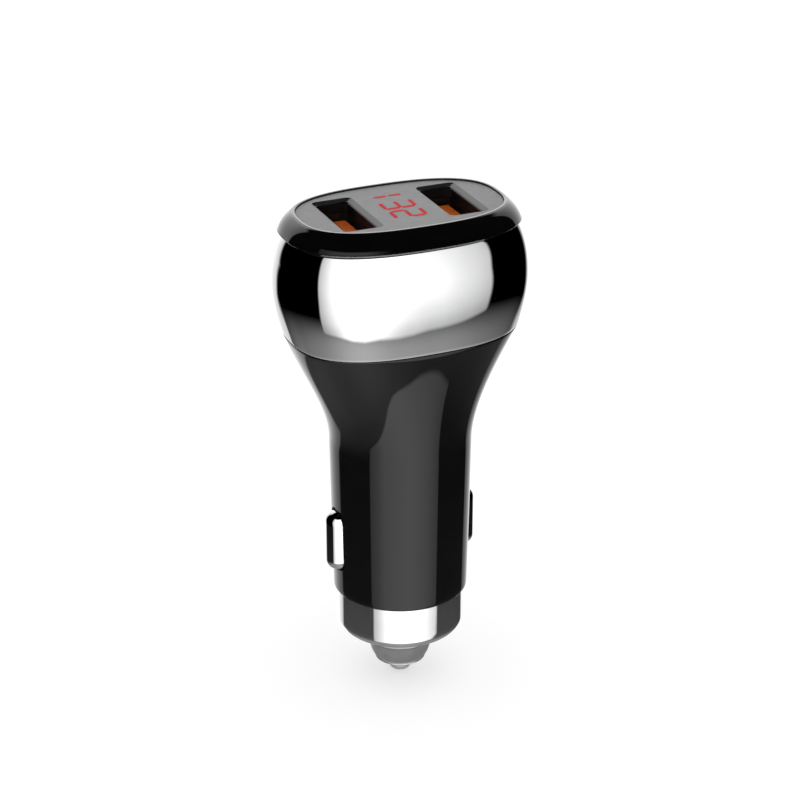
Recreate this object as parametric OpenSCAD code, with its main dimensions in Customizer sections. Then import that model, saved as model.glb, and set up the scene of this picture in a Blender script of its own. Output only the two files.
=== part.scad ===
// Car charger plug with two USB sockets, a digit display, sprung side contacts and a sprung centre tip.
// Z runs up the plug from its tip to its face. Zero is the level of the body's lower rim.
// The head is long in X. Both sockets are long in Y.

/* [Plug body] */
// Outer diameter of the body at its lower rim
rim_d = 20.8; // [18.4:0.1:24.8]
// Radius of the rim's outer edge
rim_edge_r = 0.3; // [0.2:0.05:0.6]
// Draft of the barrel's outer wall, in degrees
draft = 1.12; // [0.6:0.01:1.6]
// Height of the drafted barrel
barrel_h = 25; // [21:0.5:30]
// Wall of the barrel at its lower rim
barrel_wall = 1.5; // [1.2:0.05:1.8]
// Height of the flare, from the barrel to the seam under the bright band
flare_h = 18.2; // [16:0.1:24]
// Length of the head at the seam
seam_len = 35; // [30:0.1:42]
// Width of the head at the seam
seam_wid = 24.8; // [22.6:0.1:30]
// Squareness of the seam's outline, where 2 is an ellipse
seam_corner = 2.63; // [2.3:0.01:2.9]
// Lean of the end walls at the seam, in degrees
end_lean = 16.2; // [12:0.1:20]
// Lean of the long side walls at the seam, in degrees
side_lean = 9.2; // [6:0.1:12]
// Wall of the flared part
flare_wall = 2; // [1.7:0.05:2.4]
// Height of the spigot that carries the port board inside the band
spigot_h = 1.8; // [1.4:0.1:2.4]
// Width of the spigot's wall
spigot_wall = 1.2; // [0.9:0.05:1.5]

/* [Bright band] */
// Height of the band
band_h = 15.8; // [14:0.1:19]
// Height of the widest level above the seam
bulge_h = 7.8; // [6:0.1:9.5]
// Bulge of the band past the seam, at its ends
bulge_out_x = 1.45; // [0.8:0.05:1.8]
// Bulge of the band past the seam, at its long sides
bulge_out_y = 0.9; // [0.6:0.05:1.2]
// Step in of the band's top from the seam, at its ends
band_in_x = 0.3; // [0.2:0.01:0.8]
// Step in of the band's top from the seam, at its long sides
band_in_y = 1.4; // [1:0.05:1.8]
// Inward lean of the band's wall at its top, in degrees
shoulder_lean = 30; // [15:1:40]
// Wall of the band
band_wall = 1.5; // [1.2:0.05:1.8]

/* [Cap and face] */
// Overhang of the cap's sharp lower edge past the band's top
cap_over = 0.95; // [0.75:0.05:1.2]
// Squareness of the cap's edge
cap_corner = 2.52; // [2.3:0.01:2.9]
// Height of the undercut below the sharp edge
undercut_h = 0.4; // [0.3:0.05:0.6]
// Rise from the sharp edge to the top of the lip
cap_rise = 2.6; // [2.4:0.1:3.2]
// Width of the cap's sloping rim at its ends
slope_x = 2.65; // [2.2:0.05:3.2]
// Width of the cap's sloping rim at its long sides
slope_y = 2.75; // [2.2:0.05:3.2]
// Width of the lip round the face panel
lip_w = 0.45; // [0.35:0.01:0.6]
// Height of the lip above the face panel
lip_h = 0.27; // [0.2:0.01:0.4]
// Thickness of the face panel
panel_t = 0.8; // [0.6:0.05:1]
// Thickness of the cap's floor under the face panel
cap_floor_t = 1.2; // [1:0.05:1.3]
// Width of the ledge that joins the cap's floor to its rim
ledge_w = 1; // [0.8:0.1:1.4]
// Wall of the skirt that centres the cap in the band
skirt_t = 0.7; // [0.55:0.05:0.85]
// Depth of the skirt below the band's top
skirt_h = 1.5; // [1:0.1:2.5]

/* [USB sockets] */
// Distance between the middles of the two sockets
port_pitch = 16.56; // [15.6:0.01:18]
// Inside of a socket shell, the short way
shell_in_x = 5.12; // [4.8:0.01:5.4]
// Inside of a socket shell, the long way
shell_in_y = 12.5; // [12:0.01:12.8]
// Inside corner radius of a socket shell
shell_r = 0.5; // [0.4:0.05:0.6]
// Sheet thickness of a socket shell
shell_t = 0.3; // [0.2:0.01:0.36]
// Width of the lead-in along the long edges of a mouth
lead_x = 0.58; // [0.4:0.01:0.7]
// Width of the lead-in along the short edges of a mouth
lead_y = 0.35; // [0.25:0.01:0.42]
// Depth of the lead-in
lead_depth = 0.5; // [0.4:0.01:0.7]
// Corner radius of a mouth at the face
mouth_r = 0.9; // [0.7:0.05:1.1]
// Thickness of a socket's tongue
tongue_t = 1.84; // [1.5:0.01:2]
// Width of a socket's tongue
tongue_w = 11.1; // [10.6:0.01:11.5]
// Depth of the tongue's end below the face panel
tongue_drop = 3.1; // [2.5:0.1:4]
// Gap between the tongue and the shell wall beside it
tongue_gap = 0.65; // [0.53:0.01:0.78]
// Height of the block that holds the tongue
tongue_base_h = 3.4; // [2.8:0.1:4.1]
// Width of a contact strip on the tongue
strip_w = 1; // [0.8:0.05:1.2]
// Thickness of a contact strip
strip_t = 0.3; // [0.24:0.01:0.36]
// Distance from the tongue's end to the end of a contact strip
strip_inset = 0.6; // [0.4:0.05:1]

/* [Display] */
// Height of a digit, between the middles of its top and bottom bars
digit_h = 4.6; // [3.8:0.05:5.5]
// Width of a digit, between the middles of its side bars
digit_w = 2.7; // [2.2:0.05:2.9]
// Width of a lit bar
bar_w = 0.46; // [0.36:0.01:0.54]
// Depth of a lit bar in the face panel
bar_t = 0.25; // [0.2:0.01:0.4]
// Gap between the ends of two bars
bar_gap = 0.12; // [0.08:0.01:0.2]
// Distance between the middles of the last two digits
digit_pitch = 3.92; // [3.4:0.01:4.7]
// Place of the middle digit, towards the back
middle_digit_y = 0.93; // [0.4:0.01:1.4]
// Place of the first digit's bars, towards the back
first_digit_y = 4.8; // [4:0.01:5.8]
// Length of the display module
module_len = 13; // [11:0.1:15.5]
// Width of the display module
module_wid = 7; // [5.8:0.1:8.4]
// Height of the display module
module_h = 5; // [4:0.1:6]

/* [Collar and tip] */
// Step in from the body's lower rim to the collar
collar_step = 0.75; // [0.6:0.05:0.95]
// Height of the collar below the rim
collar_h = 7.4; // [6.4:0.1:8.8]
// Radius of the collar's lower edge
collar_r = 1.2; // [0.8:0.05:1.45]
// Thickness of the collar's floor
collar_floor = 1.2; // [1:0.05:1.5]
// Wall of the collar's spigot
neck_wall = 0.8; // [0.6:0.05:0.95]
// Diameter of the tip's nose
nose_d = 10; // [8.3:0.1:12]
// Radius that the nose's side is rounded to, towards its flat end
nose_r = 6.8; // [5.9:0.1:8]
// Height of the rounded part of the nose
nose_round_h = 4.45; // [3.8:0.05:5]
// Height of the straight part of the nose below the collar
nose_straight = 2.1; // [1.6:0.1:2.8]
// Thickness of the flange that keeps the nose in the collar
nose_flange_t = 1.2; // [1:0.05:1.5]
// Gap round the nose's flange
flange_gap = 0.6; // [0.4:0.05:0.8]
// Diameter of the contact that shows at the tip
nib_d = 3.8; // [3.2:0.05:4.6]
// Height of the contact below the nose
nib_h = 1.95; // [1.6:0.05:2.4]
// Radius of the contact's rounded end
nib_r = 0.8; // [0.5:0.05:0.95]
// Diameter of the contact's stem
stem_d = 2.4; // [2:0.05:2.9]
// Thickness of the contact's head
stem_head_t = 0.5; // [0.4:0.05:0.6]
// Travel of the sprung tip
tip_travel = 2; // [1.2:0.1:2.4]

/* [Side contacts] */
// Width of a side contact
contact_w = 4.2; // [3.7:0.05:5]
// Length of a side contact
contact_len = 9.4; // [7.8:0.1:11.2]
// Height of a side contact's lower end above the tip's seat
contact_lift = 1.1; // [1:0.05:1.4]
// Reach of a side contact's crown past the body's lower rim
crown_out = 1.8; // [1.5:0.05:2.15]
// Radius of a side contact's ends, seen from the front
contact_end_r = 1.2; // [0.9:0.05:1.5]
// Radius of a side contact's corners, seen from outside
contact_corner_r = 1.3; // [1:0.05:1.8]
// Gap between a side contact and its slot
slot_gap = 0.15; // [0.1:0.01:0.25]
// Thickness of a side contact's flange
flange_t = 0.6; // [0.45:0.05:0.75]
// Overhang of the flange past the contact, all round
flange_over = 0.7; // [0.5:0.05:0.85]
// Diameter of the spring pocket
pocket_d = 3.2; // [2.9:0.05:3.4]
// Wall between the pocket's end and the crown
pocket_wall = 1.8; // [1.4:0.1:2.2]
// Travel of a side contact
side_travel = 1.7; // [1:0.1:1.75]

/* [Springs] */
// Wire of the tip spring
tip_wire = 0.6; // [0.5:0.01:0.72]
// Mean diameter of the tip spring
tip_coil_d = 8.4; // [7:0.1:10]
// Turns of the tip spring
tip_turns = 5; // [4:1:6]
// Room left between the tip spring's turns when the tip is pressed in
tip_spare = 1.3; // [1:0.1:1.6]
// Wire of a side spring
side_wire = 0.36; // [0.3:0.01:0.42]
// Mean diameter of a side spring
side_coil_d = 2.4; // [2:0.05:2.6]
// Turns of a side spring
side_turns = 7; // [5:1:9]

/* [Electronics] */
// Thickness of both boards
board_t = 1.6; // [1.2:0.1:1.9]
// Distance from the barrel's bore to an edge of the main board
board_margin = 0.9; // [0.8:0.05:1.2]
// Width of the main board's tail between the side contacts
tail_w = 8; // [6.8:0.1:9.6]
// Height of the carrier's floor under the board's tail
tail_floor = 0.8; // [0.6:0.1:1]
// Rise of the spring carrier above the side contacts
carrier_over = 1.1; // [0.9:0.1:1.6]
// Thickness of the ribs that hold the main board's edges
rail_t = 0.9; // [0.7:0.05:1.1]
// Width of the tongue that joins the main board to the port board
joint_w = 8.8; // [7.2:0.1:9.6]
// Height of the tip's seat
seat_h = 1.2; // [1:0.05:1.5]
// Thickness of the tip's contact plate
plate_t = 0.4; // [0.3:0.01:0.48]
// Diameter of the tip's contact plate
plate_d = 10.4; // [9.2:0.1:12.4]
// Width of the tab that joins the contact plate to the main board
tab_w = 2; // [1.6:0.1:2.4]
// Height of the tab above the tip's seat
tab_rise = 3; // [2.4:0.1:3.6]
// Diameter of the inductor
inductor_d = 8; // [6.6:0.1:9.6]
// Height of the inductor
inductor_h = 4.5; // [3.8:0.1:5.4]
// Height of the inductor's middle above the barrel's top
inductor_rise = 2; // [1.6:0.1:3]
// Diameter of a capacitor
capacitor_d = 6.3; // [5.2:0.1:6.6]
// Height of a capacitor over its foot
capacitor_h = 5.8; // [4.8:0.1:6.4]
// Depth of the capacitors' middle below the seam
capacitor_drop = 6.7; // [6.2:0.1:7.5]

/* [Fits] */
// Gap between a piece and the bore that it is laid in
seat_gap = 0.15; // [0.1:0.01:0.2]
// Radial gap of a sliding fit
slide_gap = 0.08; // [0.05:0.01:0.1]
// Gap that keeps two pieces from touching
clear_gap = 0.1; // [0.08:0.01:0.15]
// Gap between the tongue's block and the shell round it
block_gap = 0.03; // [0.02:0.01:0.05]
// Gap left behind a side contact that is pressed in
press_gap = 0.3; // [0.2:0.05:0.5]

/* [Hidden] */

// Rounds are drawn with this many sides and lofts with these many points and levels.
$fn = 96;
lead_sides = 24;
loft_sides = 72;
flare_levels = 14;
band_levels = 6;
cap_levels = 4;
// Sides of a spring's wire and its steps in one turn
tip_mesh = [8, 18];
side_mesh = [6, 12];
// A cut runs this far past the face that it leaves, and two solids of one piece run this far into each other.
past = 1;
overlap = 0.2;
// The flare's foot stands out a hair's breadth, so that it covers the barrel's edge all round.
foot_step = 0.02;
// Share of the cap's slope that is straight, the rest of it being a quarter round
slope_straight = 0.55;
// Share of its length by which a spring's end turns are drawn together
end_close = 1 / 12;

// Levels, from the tip to the face
collar_bottom = -collar_h;
flange_bottom = collar_bottom + collar_floor;
flange_top = flange_bottom + nose_flange_t;
straight_bottom = collar_bottom - nose_straight;
nose_bottom = straight_bottom - nose_round_h;
tip_spring_bottom = flange_top + stem_head_t;
tip_spring_top = tip_spring_bottom + tip_turns * tip_wire + tip_travel + tip_spare;
seat_bottom = tip_spring_top + plate_t;
seat_top = seat_bottom + seat_h;
contact_z = seat_top + contact_lift;
contact_mid = contact_z + contact_len / 2;
carrier_top = contact_z + contact_len + carrier_over;
rail_bottom = carrier_top + board_margin;
seam_h = barrel_h + flare_h;
port_board_bottom = seam_h + spigot_h;
port_board_top = port_board_bottom + board_t;
band_top = seam_h + band_h;
cap_edge_z = band_top + undercut_h;
lip_top = cap_edge_z + cap_rise;
face_z = lip_top - lip_h;
panel_bottom = face_z - panel_t;
cap_floor_bottom = panel_bottom - cap_floor_t;
shell_top = cap_floor_bottom - clear_gap;
tongue_top = face_z - tongue_drop;
module_top = panel_bottom - clear_gap;
// The strips and leads end this far below the port board.
solder_drop = 0.6;

// Half sizes of the head's outlines, along X and Y
seam_half = [seam_len / 2, seam_wid / 2];
bulge_half = seam_half + [bulge_out_x, bulge_out_y];
band_top_half = seam_half - [band_in_x, band_in_y];
cap_half = band_top_half + [cap_over, cap_over];
face_half = cap_half - [slope_x, slope_y];
skirt_half = band_top_half - (band_wall + seat_gap) * [1, 1];

// Radii and half sizes of the plug's pieces
rim_r = rim_d / 2;
bore_r = rim_r - barrel_wall;
barrel_top_r = rim_r + barrel_h * tan(draft);
collar_out_r = rim_r - collar_step;
laid_r = bore_r - seat_gap;
cavity_r = laid_r - neck_wall;
spigot_inset = band_wall + seat_gap;
port_x = port_pitch / 2;
board_half = bore_r - board_margin;
tail_half = tail_w / 2;
flange_half_w = contact_w / 2 + flange_over;
flange_x = sqrt(pow(laid_r, 2) - pow(flange_half_w, 2));
contact_reach = rim_r + crown_out;
pocket_end = contact_reach - pocket_wall;
carrier_half = flange_x - flange_t - side_travel - press_gap;

// Faces of a tongue from the middle of its socket, and the places of its contact strips along Y
tongue_far_x = shell_in_x / 2 - tongue_gap;
tongue_near_x = tongue_far_x - tongue_t;
strip_places = [-3.5, -1, 1, 3.5];

// The display's leads stand in two rows of five.
lead_d = 0.5;
lead_pitch = 2.54;
lead_rows = [-1, 1];
lead_places = [-2 : 2];

// Small components as length, width and height, and the pitch of their legs
regulator_size = [4.9, 3.9, 1.5];
regulator_pitch = 1.27;
charge_size = [3, 3, 1];
charge_pitch = 0.65;
chip_legs = 4;
leg_reach = 1;
// Width of a leg as a share of the pitch
leg_share = 0.35;
leg_t = 0.2;
fuse_size = [1.6, 3.2, 1];
fuse_rise = 3.4;
fuse_place = [4.6, carrier_top + fuse_rise];
diode_size = [2.6, 4.3, 2.1];
diode_leg_size = [1.5, 5.2, 0.2];
diode_rise = 4;
diode_z = carrier_top + diode_rise;
charge_side = 2.9;
charge_y = joint_w / 2 + charge_side;
inductor_z = barrel_h + inductor_rise;
inductor_flange = 0.9;
inductor_neck_d = inductor_d / 2;
winding_inset = 0.5;
capacitor_z = seam_h - capacitor_drop;
capacitor_foot = 0.8;
capacitor_side = capacitor_d + 0.3;
capacitor_y = (capacitor_side + board_margin) / 2;

// One stretch of a smooth curve from a to b, with its slopes at both ends per full stretch
function ease(t, a, b, slope_a, slope_b) =
    a * (1 - 3 * t * t + 2 * t * t * t)
    + b * (3 * t * t - 2 * t * t * t)
    + slope_a * (t - 2 * t * t + t * t * t)
    + slope_b * (t * t * t - t * t);

function power(value, n) = sign(value) * pow(abs(value), 2 / n);

// Points of a rounded oval with half sizes a and b, grown by more on every side
function oval(a, b, n, more = 0) = [
    for (i = [0 : loft_sides - 1])
        let (turn = 360 * i / loft_sides)
        [(a + more) * power(cos(turn), n), (b + more) * power(sin(turn), n)]
];

function raised(outline, z) = [for (p = outline) [p[0], p[1], z]];

// A section holds its half sizes along X and Y and its squareness.
function section(half, n) = [half[0], half[1], n];

function section_ring(size, z, more = 0) = raised(oval(size[0], size[1], size[2], more), z);

// Section of the body's flare, where t runs from the barrel to the seam
function flare_section(t) =
    let (start = tan(draft) * flare_h)
    [
        ease(t, barrel_top_r, seam_half[0], start, tan(end_lean) * flare_h),
        ease(t, barrel_top_r, seam_half[1], start, tan(side_lean) * flare_h),
        2 + (seam_corner - 2) * pow(t, 4)
    ];

// Section of the band below and above its widest level
function band_low(t) = [
    ease(t, seam_half[0], bulge_half[0], tan(end_lean) * bulge_h, 0),
    ease(t, seam_half[1], bulge_half[1], tan(side_lean) * bulge_h, 0),
    band_corner(t * bulge_h)
];

function band_high(t) =
    let (height = band_h - bulge_h, slope = -tan(shoulder_lean) * height)
    [
        ease(t, bulge_half[0], band_top_half[0], 0, slope),
        ease(t, bulge_half[1], band_top_half[1], 0, slope),
        band_corner(bulge_h + t * height)
    ];

function band_corner(height) = seam_corner + (cap_corner - seam_corner) * height / band_h;

// A tube whose skin runs through every ring in turn and back to the first
module ring_shell(rings) {
    count = len(rings);
    points = [for (ring = rings) each ring];
    faces = [
        for (k = [0 : count - 1], i = [0 : loft_sides - 1])
            let (
                here = k * loft_sides,
                next = ((k + 1) % count) * loft_sides,
                j = (i + 1) % loft_sides
            )
            each [[here + i, next + i, next + j], [here + i, next + j, here + j]]
    ];
    polyhedron(points, faces, convexity = 6);
}

// A coil of round wire along Z from zero to length, with mesh as its sides round the wire and steps in a turn
module coil(length, coil_d, wire, turns, mesh) {
    steps = turns * mesh[1];
    rise = length - wire;
    points = [
        for (s = [0 : steps])
            let (
                t = s / steps,
                turn = 360 * turns * t,
                z = wire / 2 + rise * (t - sin(360 * t) * end_close)
            )
            for (w = [0 : mesh[0] - 1])
                let (round = 360 * w / mesh[0], r = coil_d / 2 + wire / 2 * cos(round))
                [r * cos(turn), r * sin(turn), z + wire / 2 * sin(round)]
    ];
    sides = [
        for (s = [0 : steps - 1], w = [0 : mesh[0] - 1])
            let (here = s * mesh[0], next = here + mesh[0], v = (w + 1) % mesh[0])
            each [[here + w, next + w, next + v], [here + w, next + v, here + v]]
    ];
    start = [for (w = [0 : mesh[0] - 1]) w];
    end = [for (w = [mesh[0] - 1 : -1 : 0]) steps * mesh[0] + w];
    polyhedron(points, concat(sides, [end], [start]), convexity = 8);
}

// A rectangle about its middle with round corners
module round_rect(w, h, r) {
    square([w - 2 * r, h], center = true);
    square([w, h - 2 * r], center = true);
    for (x = [-1, 1], y = [-1, 1])
        translate([x * (w / 2 - r), y * (h / 2 - r)])
            circle(r);
}

module box_between(low, high) {
    translate(low)
        cube(high - low);
}

// A cut of a given depth that runs past the face above it
module cut_up(from, to) {
    translate([0, 0, from])
        linear_extrude(to + past - from)
            children();
}

module at_port(side) {
    translate([side * port_x, 0, 0])
        children();
}

// The mouth of one socket at the face, with its lead-in
module mouth_cut(bottom) {
    cut_up(bottom, face_z)
        round_rect(shell_in_x, shell_in_y, mouth_r - lead_y);
    intersection() {
        lead_wedge(shell_in_x / 2, lead_x, shell_in_y + 2 * lead_y);
        rotate([0, 0, 90])
            lead_wedge(shell_in_y / 2, lead_y, shell_in_x + 2 * lead_x);
        cut_up(face_z - lead_depth, face_z)
            round_rect(shell_in_x + 2 * lead_x, shell_in_y + 2 * lead_y, mouth_r);
    }
}

// A prism along Y that widens by lead over the lead-in's depth
module lead_wedge(half, lead, length) {
    wide = half + lead;
    rotate([90, 0, 0])
        linear_extrude(length, center = true)
            polygon([
                [-half, face_z - lead_depth], [half, face_z - lead_depth],
                [wide, face_z], [wide, face_z + past],
                [-wide, face_z + past], [-wide, face_z]
            ]);
}

// One lit bar, pointed at both ends, from one point of the digit to another
module lit_bar(from, to) {
    along = to - from;
    length = norm(along) - 2 * bar_gap;
    half = bar_w / 2;
    translate((from + to) / 2)
        rotate(atan2(along[1], along[0]))
            polygon([
                [-length / 2, 0], [half - length / 2, half], [length / 2 - half, half],
                [length / 2, 0], [length / 2 - half, -half], [half - length / 2, -half]
            ]);
}

// The bars of all lit digits in the plane of the face, read from the back to the front
module lit_outline() {
    w = digit_w / 2;
    h = digit_h / 2;
    rotate(-90) {
        translate([-first_digit_y, 0]) {
            lit_bar([0, 0], [0, h]);
            lit_bar([0, -h], [0, 0]);
        }
        translate([-middle_digit_y, 0]) {
            for (v = [-h, 0, h])
                lit_bar([-w, v], [w, v]);
            lit_bar([w, 0], [w, h]);
            lit_bar([w, -h], [w, 0]);
        }
        translate([digit_pitch - middle_digit_y, 0]) {
            for (v = [-h, 0, h])
                lit_bar([-w, v], [w, v]);
            lit_bar([w, 0], [w, h]);
            lit_bar([-w, -h], [-w, 0]);
        }
    }
}

module face_panel() {
    color([0.56, 0.56, 0.57])
        difference() {
            translate([0, 0, panel_bottom])
                linear_extrude(panel_t)
                    polygon(oval(face_half[0], face_half[1], seam_corner, -clear_gap / 2));
            for (side = [-1, 1])
                at_port(side)
                    mouth_cut(panel_bottom - past);
            cut_up(face_z - bar_t, face_z)
                lit_outline();
        }
}

module lit_segments() {
    color([0.95, 0.12, 0.1])
        translate([0, 0, face_z - bar_t])
            linear_extrude(bar_t)
                lit_outline();
}

// The cap's rim: its skirt in the band, its sharp edge, its slope up to the lip and its inner ledge
module cap_rim() {
    edge = section(cap_half, cap_corner);
    foot = section(cap_half - undercut_h * [1, 1], cap_corner);
    lip = section(face_half + lip_w * [1, 1], seam_corner);
    skirt = section(skirt_half, cap_corner);
    slope_rings = [
        for (k = [0 : cap_levels])
            let (
                t = k / cap_levels,
                in = slope_straight * t + (1 - slope_straight) * (1 - cos(90 * t)),
                up = slope_straight * t + (1 - slope_straight) * sin(90 * t)
            )
            section_ring(edge + (lip - edge) * in, cap_edge_z + cap_rise * up)
    ];
    ring_shell(concat(
        [section_ring(skirt, band_top - skirt_h), section_ring(skirt, band_top), section_ring(foot, band_top)],
        slope_rings,
        [
            section_ring(lip, lip_top, -lip_w),
            section_ring(lip, panel_bottom, -lip_w),
            section_ring(skirt, panel_bottom, -skirt_t - ledge_w),
            section_ring(skirt, cap_floor_bottom, -skirt_t - ledge_w),
            section_ring(skirt, cap_floor_bottom, -skirt_t),
            section_ring(skirt, band_top - skirt_h, -skirt_t)
        ]
    ));
}

// The cap's floor, with both mouths and the display's window
module cap_floor() {
    difference() {
        translate([0, 0, cap_floor_bottom])
            linear_extrude(cap_floor_t)
                polygon(oval(skirt_half[0], skirt_half[1], cap_corner, -skirt_t - ledge_w / 2));
        for (side = [-1, 1])
            at_port(side)
                mouth_cut(cap_floor_bottom - past);
        cut_up(cap_floor_bottom - past, panel_bottom)
            square([module_wid + 2 * clear_gap, module_len + 2 * clear_gap], center = true);
    }
}

module bezel_cap() {
    color([0.05, 0.05, 0.055])
        union() {
            cap_rim();
            cap_floor();
        }
}

module chrome_band() {
    low = [for (k = [0 : band_levels]) [band_low(k / band_levels), seam_h + bulge_h * k / band_levels]];
    high = [
        for (k = [1 : band_levels])
            [band_high(k / band_levels), seam_h + bulge_h + (band_h - bulge_h) * k / band_levels]
    ];
    levels = concat(low, high);
    color([0.85, 0.86, 0.88])
        ring_shell(concat(
            [for (level = levels) section_ring(level[0], level[1])],
            [for (k = [len(levels) - 1 : -1 : 0]) section_ring(levels[k][0], levels[k][1], -band_wall)]
        ));
}

// The flared part of the body, from the barrel to the seam, with the spigot above it
module flare() {
    seam = flare_section(1);
    outer = [
        for (k = [0 : flare_levels])
            let (t = k / flare_levels)
            section_ring(flare_section(t), barrel_h + flare_h * t, k == 0 ? foot_step : 0)
    ];
    inner_start = barrel_top_r - bore_r + foot_step;
    inner = [
        for (k = [flare_levels - 2 : -2 : 0])
            let (t = k / flare_levels, wall = inner_start + (flare_wall - inner_start) * min(1, 2 * t))
            section_ring(flare_section(t), barrel_h + flare_h * t, -wall)
    ];
    ring_shell(concat(
        outer,
        [
            section_ring(seam, seam_h, -spigot_inset),
            section_ring(seam, port_board_bottom, -spigot_inset),
            section_ring(seam, port_board_bottom, -spigot_inset - spigot_wall),
            section_ring(seam, seam_h - spigot_h, -spigot_inset - spigot_wall)
        ],
        inner
    ));
}

// The opening that a side contact passes through
module contact_slot() {
    translate([0, 0, contact_mid])
        rotate([90, 0, 90])
            linear_extrude(contact_reach)
                round_rect(contact_w + 2 * slot_gap, contact_len + 2 * slot_gap, contact_corner_r + slot_gap);
}

// Two ribs that hold one edge of the main board
module board_rails() {
    near = board_t / 2 + clear_gap;
    for (x = [-near - rail_t, near])
        box_between([x, board_half - rail_t, rail_bottom], [x + rail_t, bore_r + overlap, barrel_h]);
}

// Section of the barrel's wall, with its rounded lower edge
module barrel_wall_section() {
    polygon([
        [bore_r, 0], [rim_r - rim_edge_r, 0], [rim_r, rim_edge_r],
        [barrel_top_r, barrel_h], [bore_r, barrel_h]
    ]);
    translate([rim_r - rim_edge_r, rim_edge_r])
        circle(rim_edge_r);
}

module barrel() {
    difference() {
        rotate_extrude()
            barrel_wall_section();
        contact_slot();
        mirror([1, 0, 0])
            contact_slot();
    }
    board_rails();
    mirror([0, 1, 0])
        board_rails();
}

module main_housing() {
    color([0.09, 0.09, 0.095])
        union() {
            barrel();
            flare();
        }
}

module collar_ring() {
    color([0.8, 0.81, 0.83])
        rotate_extrude()
            difference() {
                union() {
                    translate([0, collar_bottom])
                        square([collar_out_r - collar_r, collar_h]);
                    translate([0, collar_bottom + collar_r])
                        square([collar_out_r, collar_h - collar_r]);
                    translate([collar_out_r - collar_r, collar_bottom + collar_r])
                        circle(collar_r);
                    square([laid_r, seat_bottom]);
                }
                translate([-rim_r, collar_bottom - past])
                    square([rim_r + nose_d / 2 + slide_gap, collar_h + seat_bottom + 2 * past]);
                translate([0, flange_bottom])
                    square([cavity_r, collar_h + seat_bottom]);
            }
}

module tip_nose() {
    color([0.5, 0.5, 0.51])
        rotate_extrude()
            difference() {
                union() {
                    translate([0, straight_bottom])
                        square([nose_d / 2, flange_top - straight_bottom]);
                    translate([0, flange_bottom])
                        square([cavity_r - flange_gap, nose_flange_t]);
                    intersection() {
                        translate([nose_d / 2 - nose_r, straight_bottom])
                            circle(nose_r);
                        translate([0, nose_bottom])
                            square([nose_d / 2, nose_round_h]);
                    }
                }
                translate([-nose_d, nose_bottom - past])
                    square([nose_d + stem_d / 2 + slide_gap, flange_top - nose_bottom + 2 * past]);
            }
}

module tip_contact() {
    head_r = tip_coil_d / 2 + tip_wire;
    nib_bottom = nose_bottom - nib_h;
    color([0.75, 0.75, 0.74])
        rotate_extrude() {
            translate([0, nib_bottom + nib_r])
                square([nib_d / 2, nib_h - nib_r]);
            translate([0, nib_bottom])
                square([nib_d / 2 - nib_r, nib_h]);
            intersection() {
                translate([nib_d / 2 - nib_r, nib_bottom + nib_r])
                    circle(nib_r);
                translate([0, nib_bottom])
                    square([nib_d, nib_h]);
            }
            translate([0, nose_bottom - nib_r])
                square([stem_d / 2, flange_top - nose_bottom + nib_r]);
            translate([0, flange_top])
                square([head_r, stem_head_t]);
        }
}

module tip_spring() {
    color([0.62, 0.63, 0.65])
        translate([0, 0, tip_spring_bottom])
            coil(tip_spring_top - tip_spring_bottom, tip_coil_d, tip_wire, tip_turns, tip_mesh);
}

// The tab that runs up from the contact plate beside the board's tail, with a gap round it for its slots
module plate_tab(top, gap = 0) {
    side_y = -tail_half / 2;
    box_between(
        [board_t / 2 - gap, side_y - tab_w / 2 - gap, tip_spring_top],
        [board_t / 2 + plate_t + gap, side_y + tab_w / 2 + gap, top]
    );
}

module tip_seat() {
    color([0.78, 0.76, 0.7])
        difference() {
            translate([0, 0, seat_bottom])
                cylinder(h = seat_h, r = laid_r);
            plate_tab(seat_top + past, clear_gap);
        }
}

module contact_plate() {
    color([0.8, 0.66, 0.32])
        union() {
            translate([0, 0, tip_spring_top])
                cylinder(h = plate_t, d = plate_d);
            plate_tab(seat_top + tab_rise);
        }
}

module spring_carrier() {
    color([0.82, 0.82, 0.8])
        difference() {
            intersection() {
                translate([0, 0, seat_top])
                    cylinder(h = carrier_top - seat_top, r = laid_r);
                box_between([-carrier_half, -rim_r, seat_top], [carrier_half, rim_r, carrier_top]);
            }
            box_between(
                [-board_t / 2 - clear_gap, -tail_half - clear_gap, seat_top + tail_floor],
                [board_t / 2 + clear_gap, tail_half + clear_gap, carrier_top + past]
            );
            plate_tab(seat_top + tab_rise + clear_gap, clear_gap);
            translate([-rim_r, 0, contact_mid])
                rotate([0, 90, 0])
                    cylinder(h = rim_d, d = pocket_d);
        }
}

module side_contact() {
    flange_in_x = flange_x - flange_t;
    crown_r = contact_w / 2;
    color([0.82, 0.83, 0.84])
        difference() {
            union() {
                intersection() {
                    translate([0, 0, contact_z])
                        linear_extrude(contact_len) {
                            translate([flange_in_x, -crown_r])
                                square([contact_reach - flange_in_x - crown_r, contact_w]);
                            translate([contact_reach - crown_r, 0])
                                circle(crown_r);
                        }
                    translate([0, 0, contact_mid])
                        rotate([90, 0, 0])
                            linear_extrude(2 * contact_w, center = true)
                                round_rect(2 * contact_reach, contact_len, contact_end_r);
                    translate([0, 0, contact_mid])
                        rotate([90, 0, 90])
                            linear_extrude(2 * contact_reach)
                                round_rect(contact_w, contact_len, contact_corner_r);
                }
                translate([flange_in_x, 0, contact_mid])
                    rotate([90, 0, 90])
                        linear_extrude(flange_t)
                            round_rect(
                                2 * flange_half_w, contact_len + 2 * flange_over, contact_corner_r
                            );
            }
            translate([0, 0, contact_mid])
                rotate([0, 90, 0])
                    cylinder(h = pocket_end, d = pocket_d);
        }
}

module left_side_contact() {
    mirror([1, 0, 0])
        side_contact();
}

module right_side_contact() {
    side_contact();
}

module side_spring() {
    color([0.62, 0.63, 0.65])
        translate([board_t / 2, 0, contact_mid])
            rotate([0, 90, 0])
                coil(pocket_end - board_t / 2, side_coil_d, side_wire, side_turns, side_mesh);
}

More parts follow.
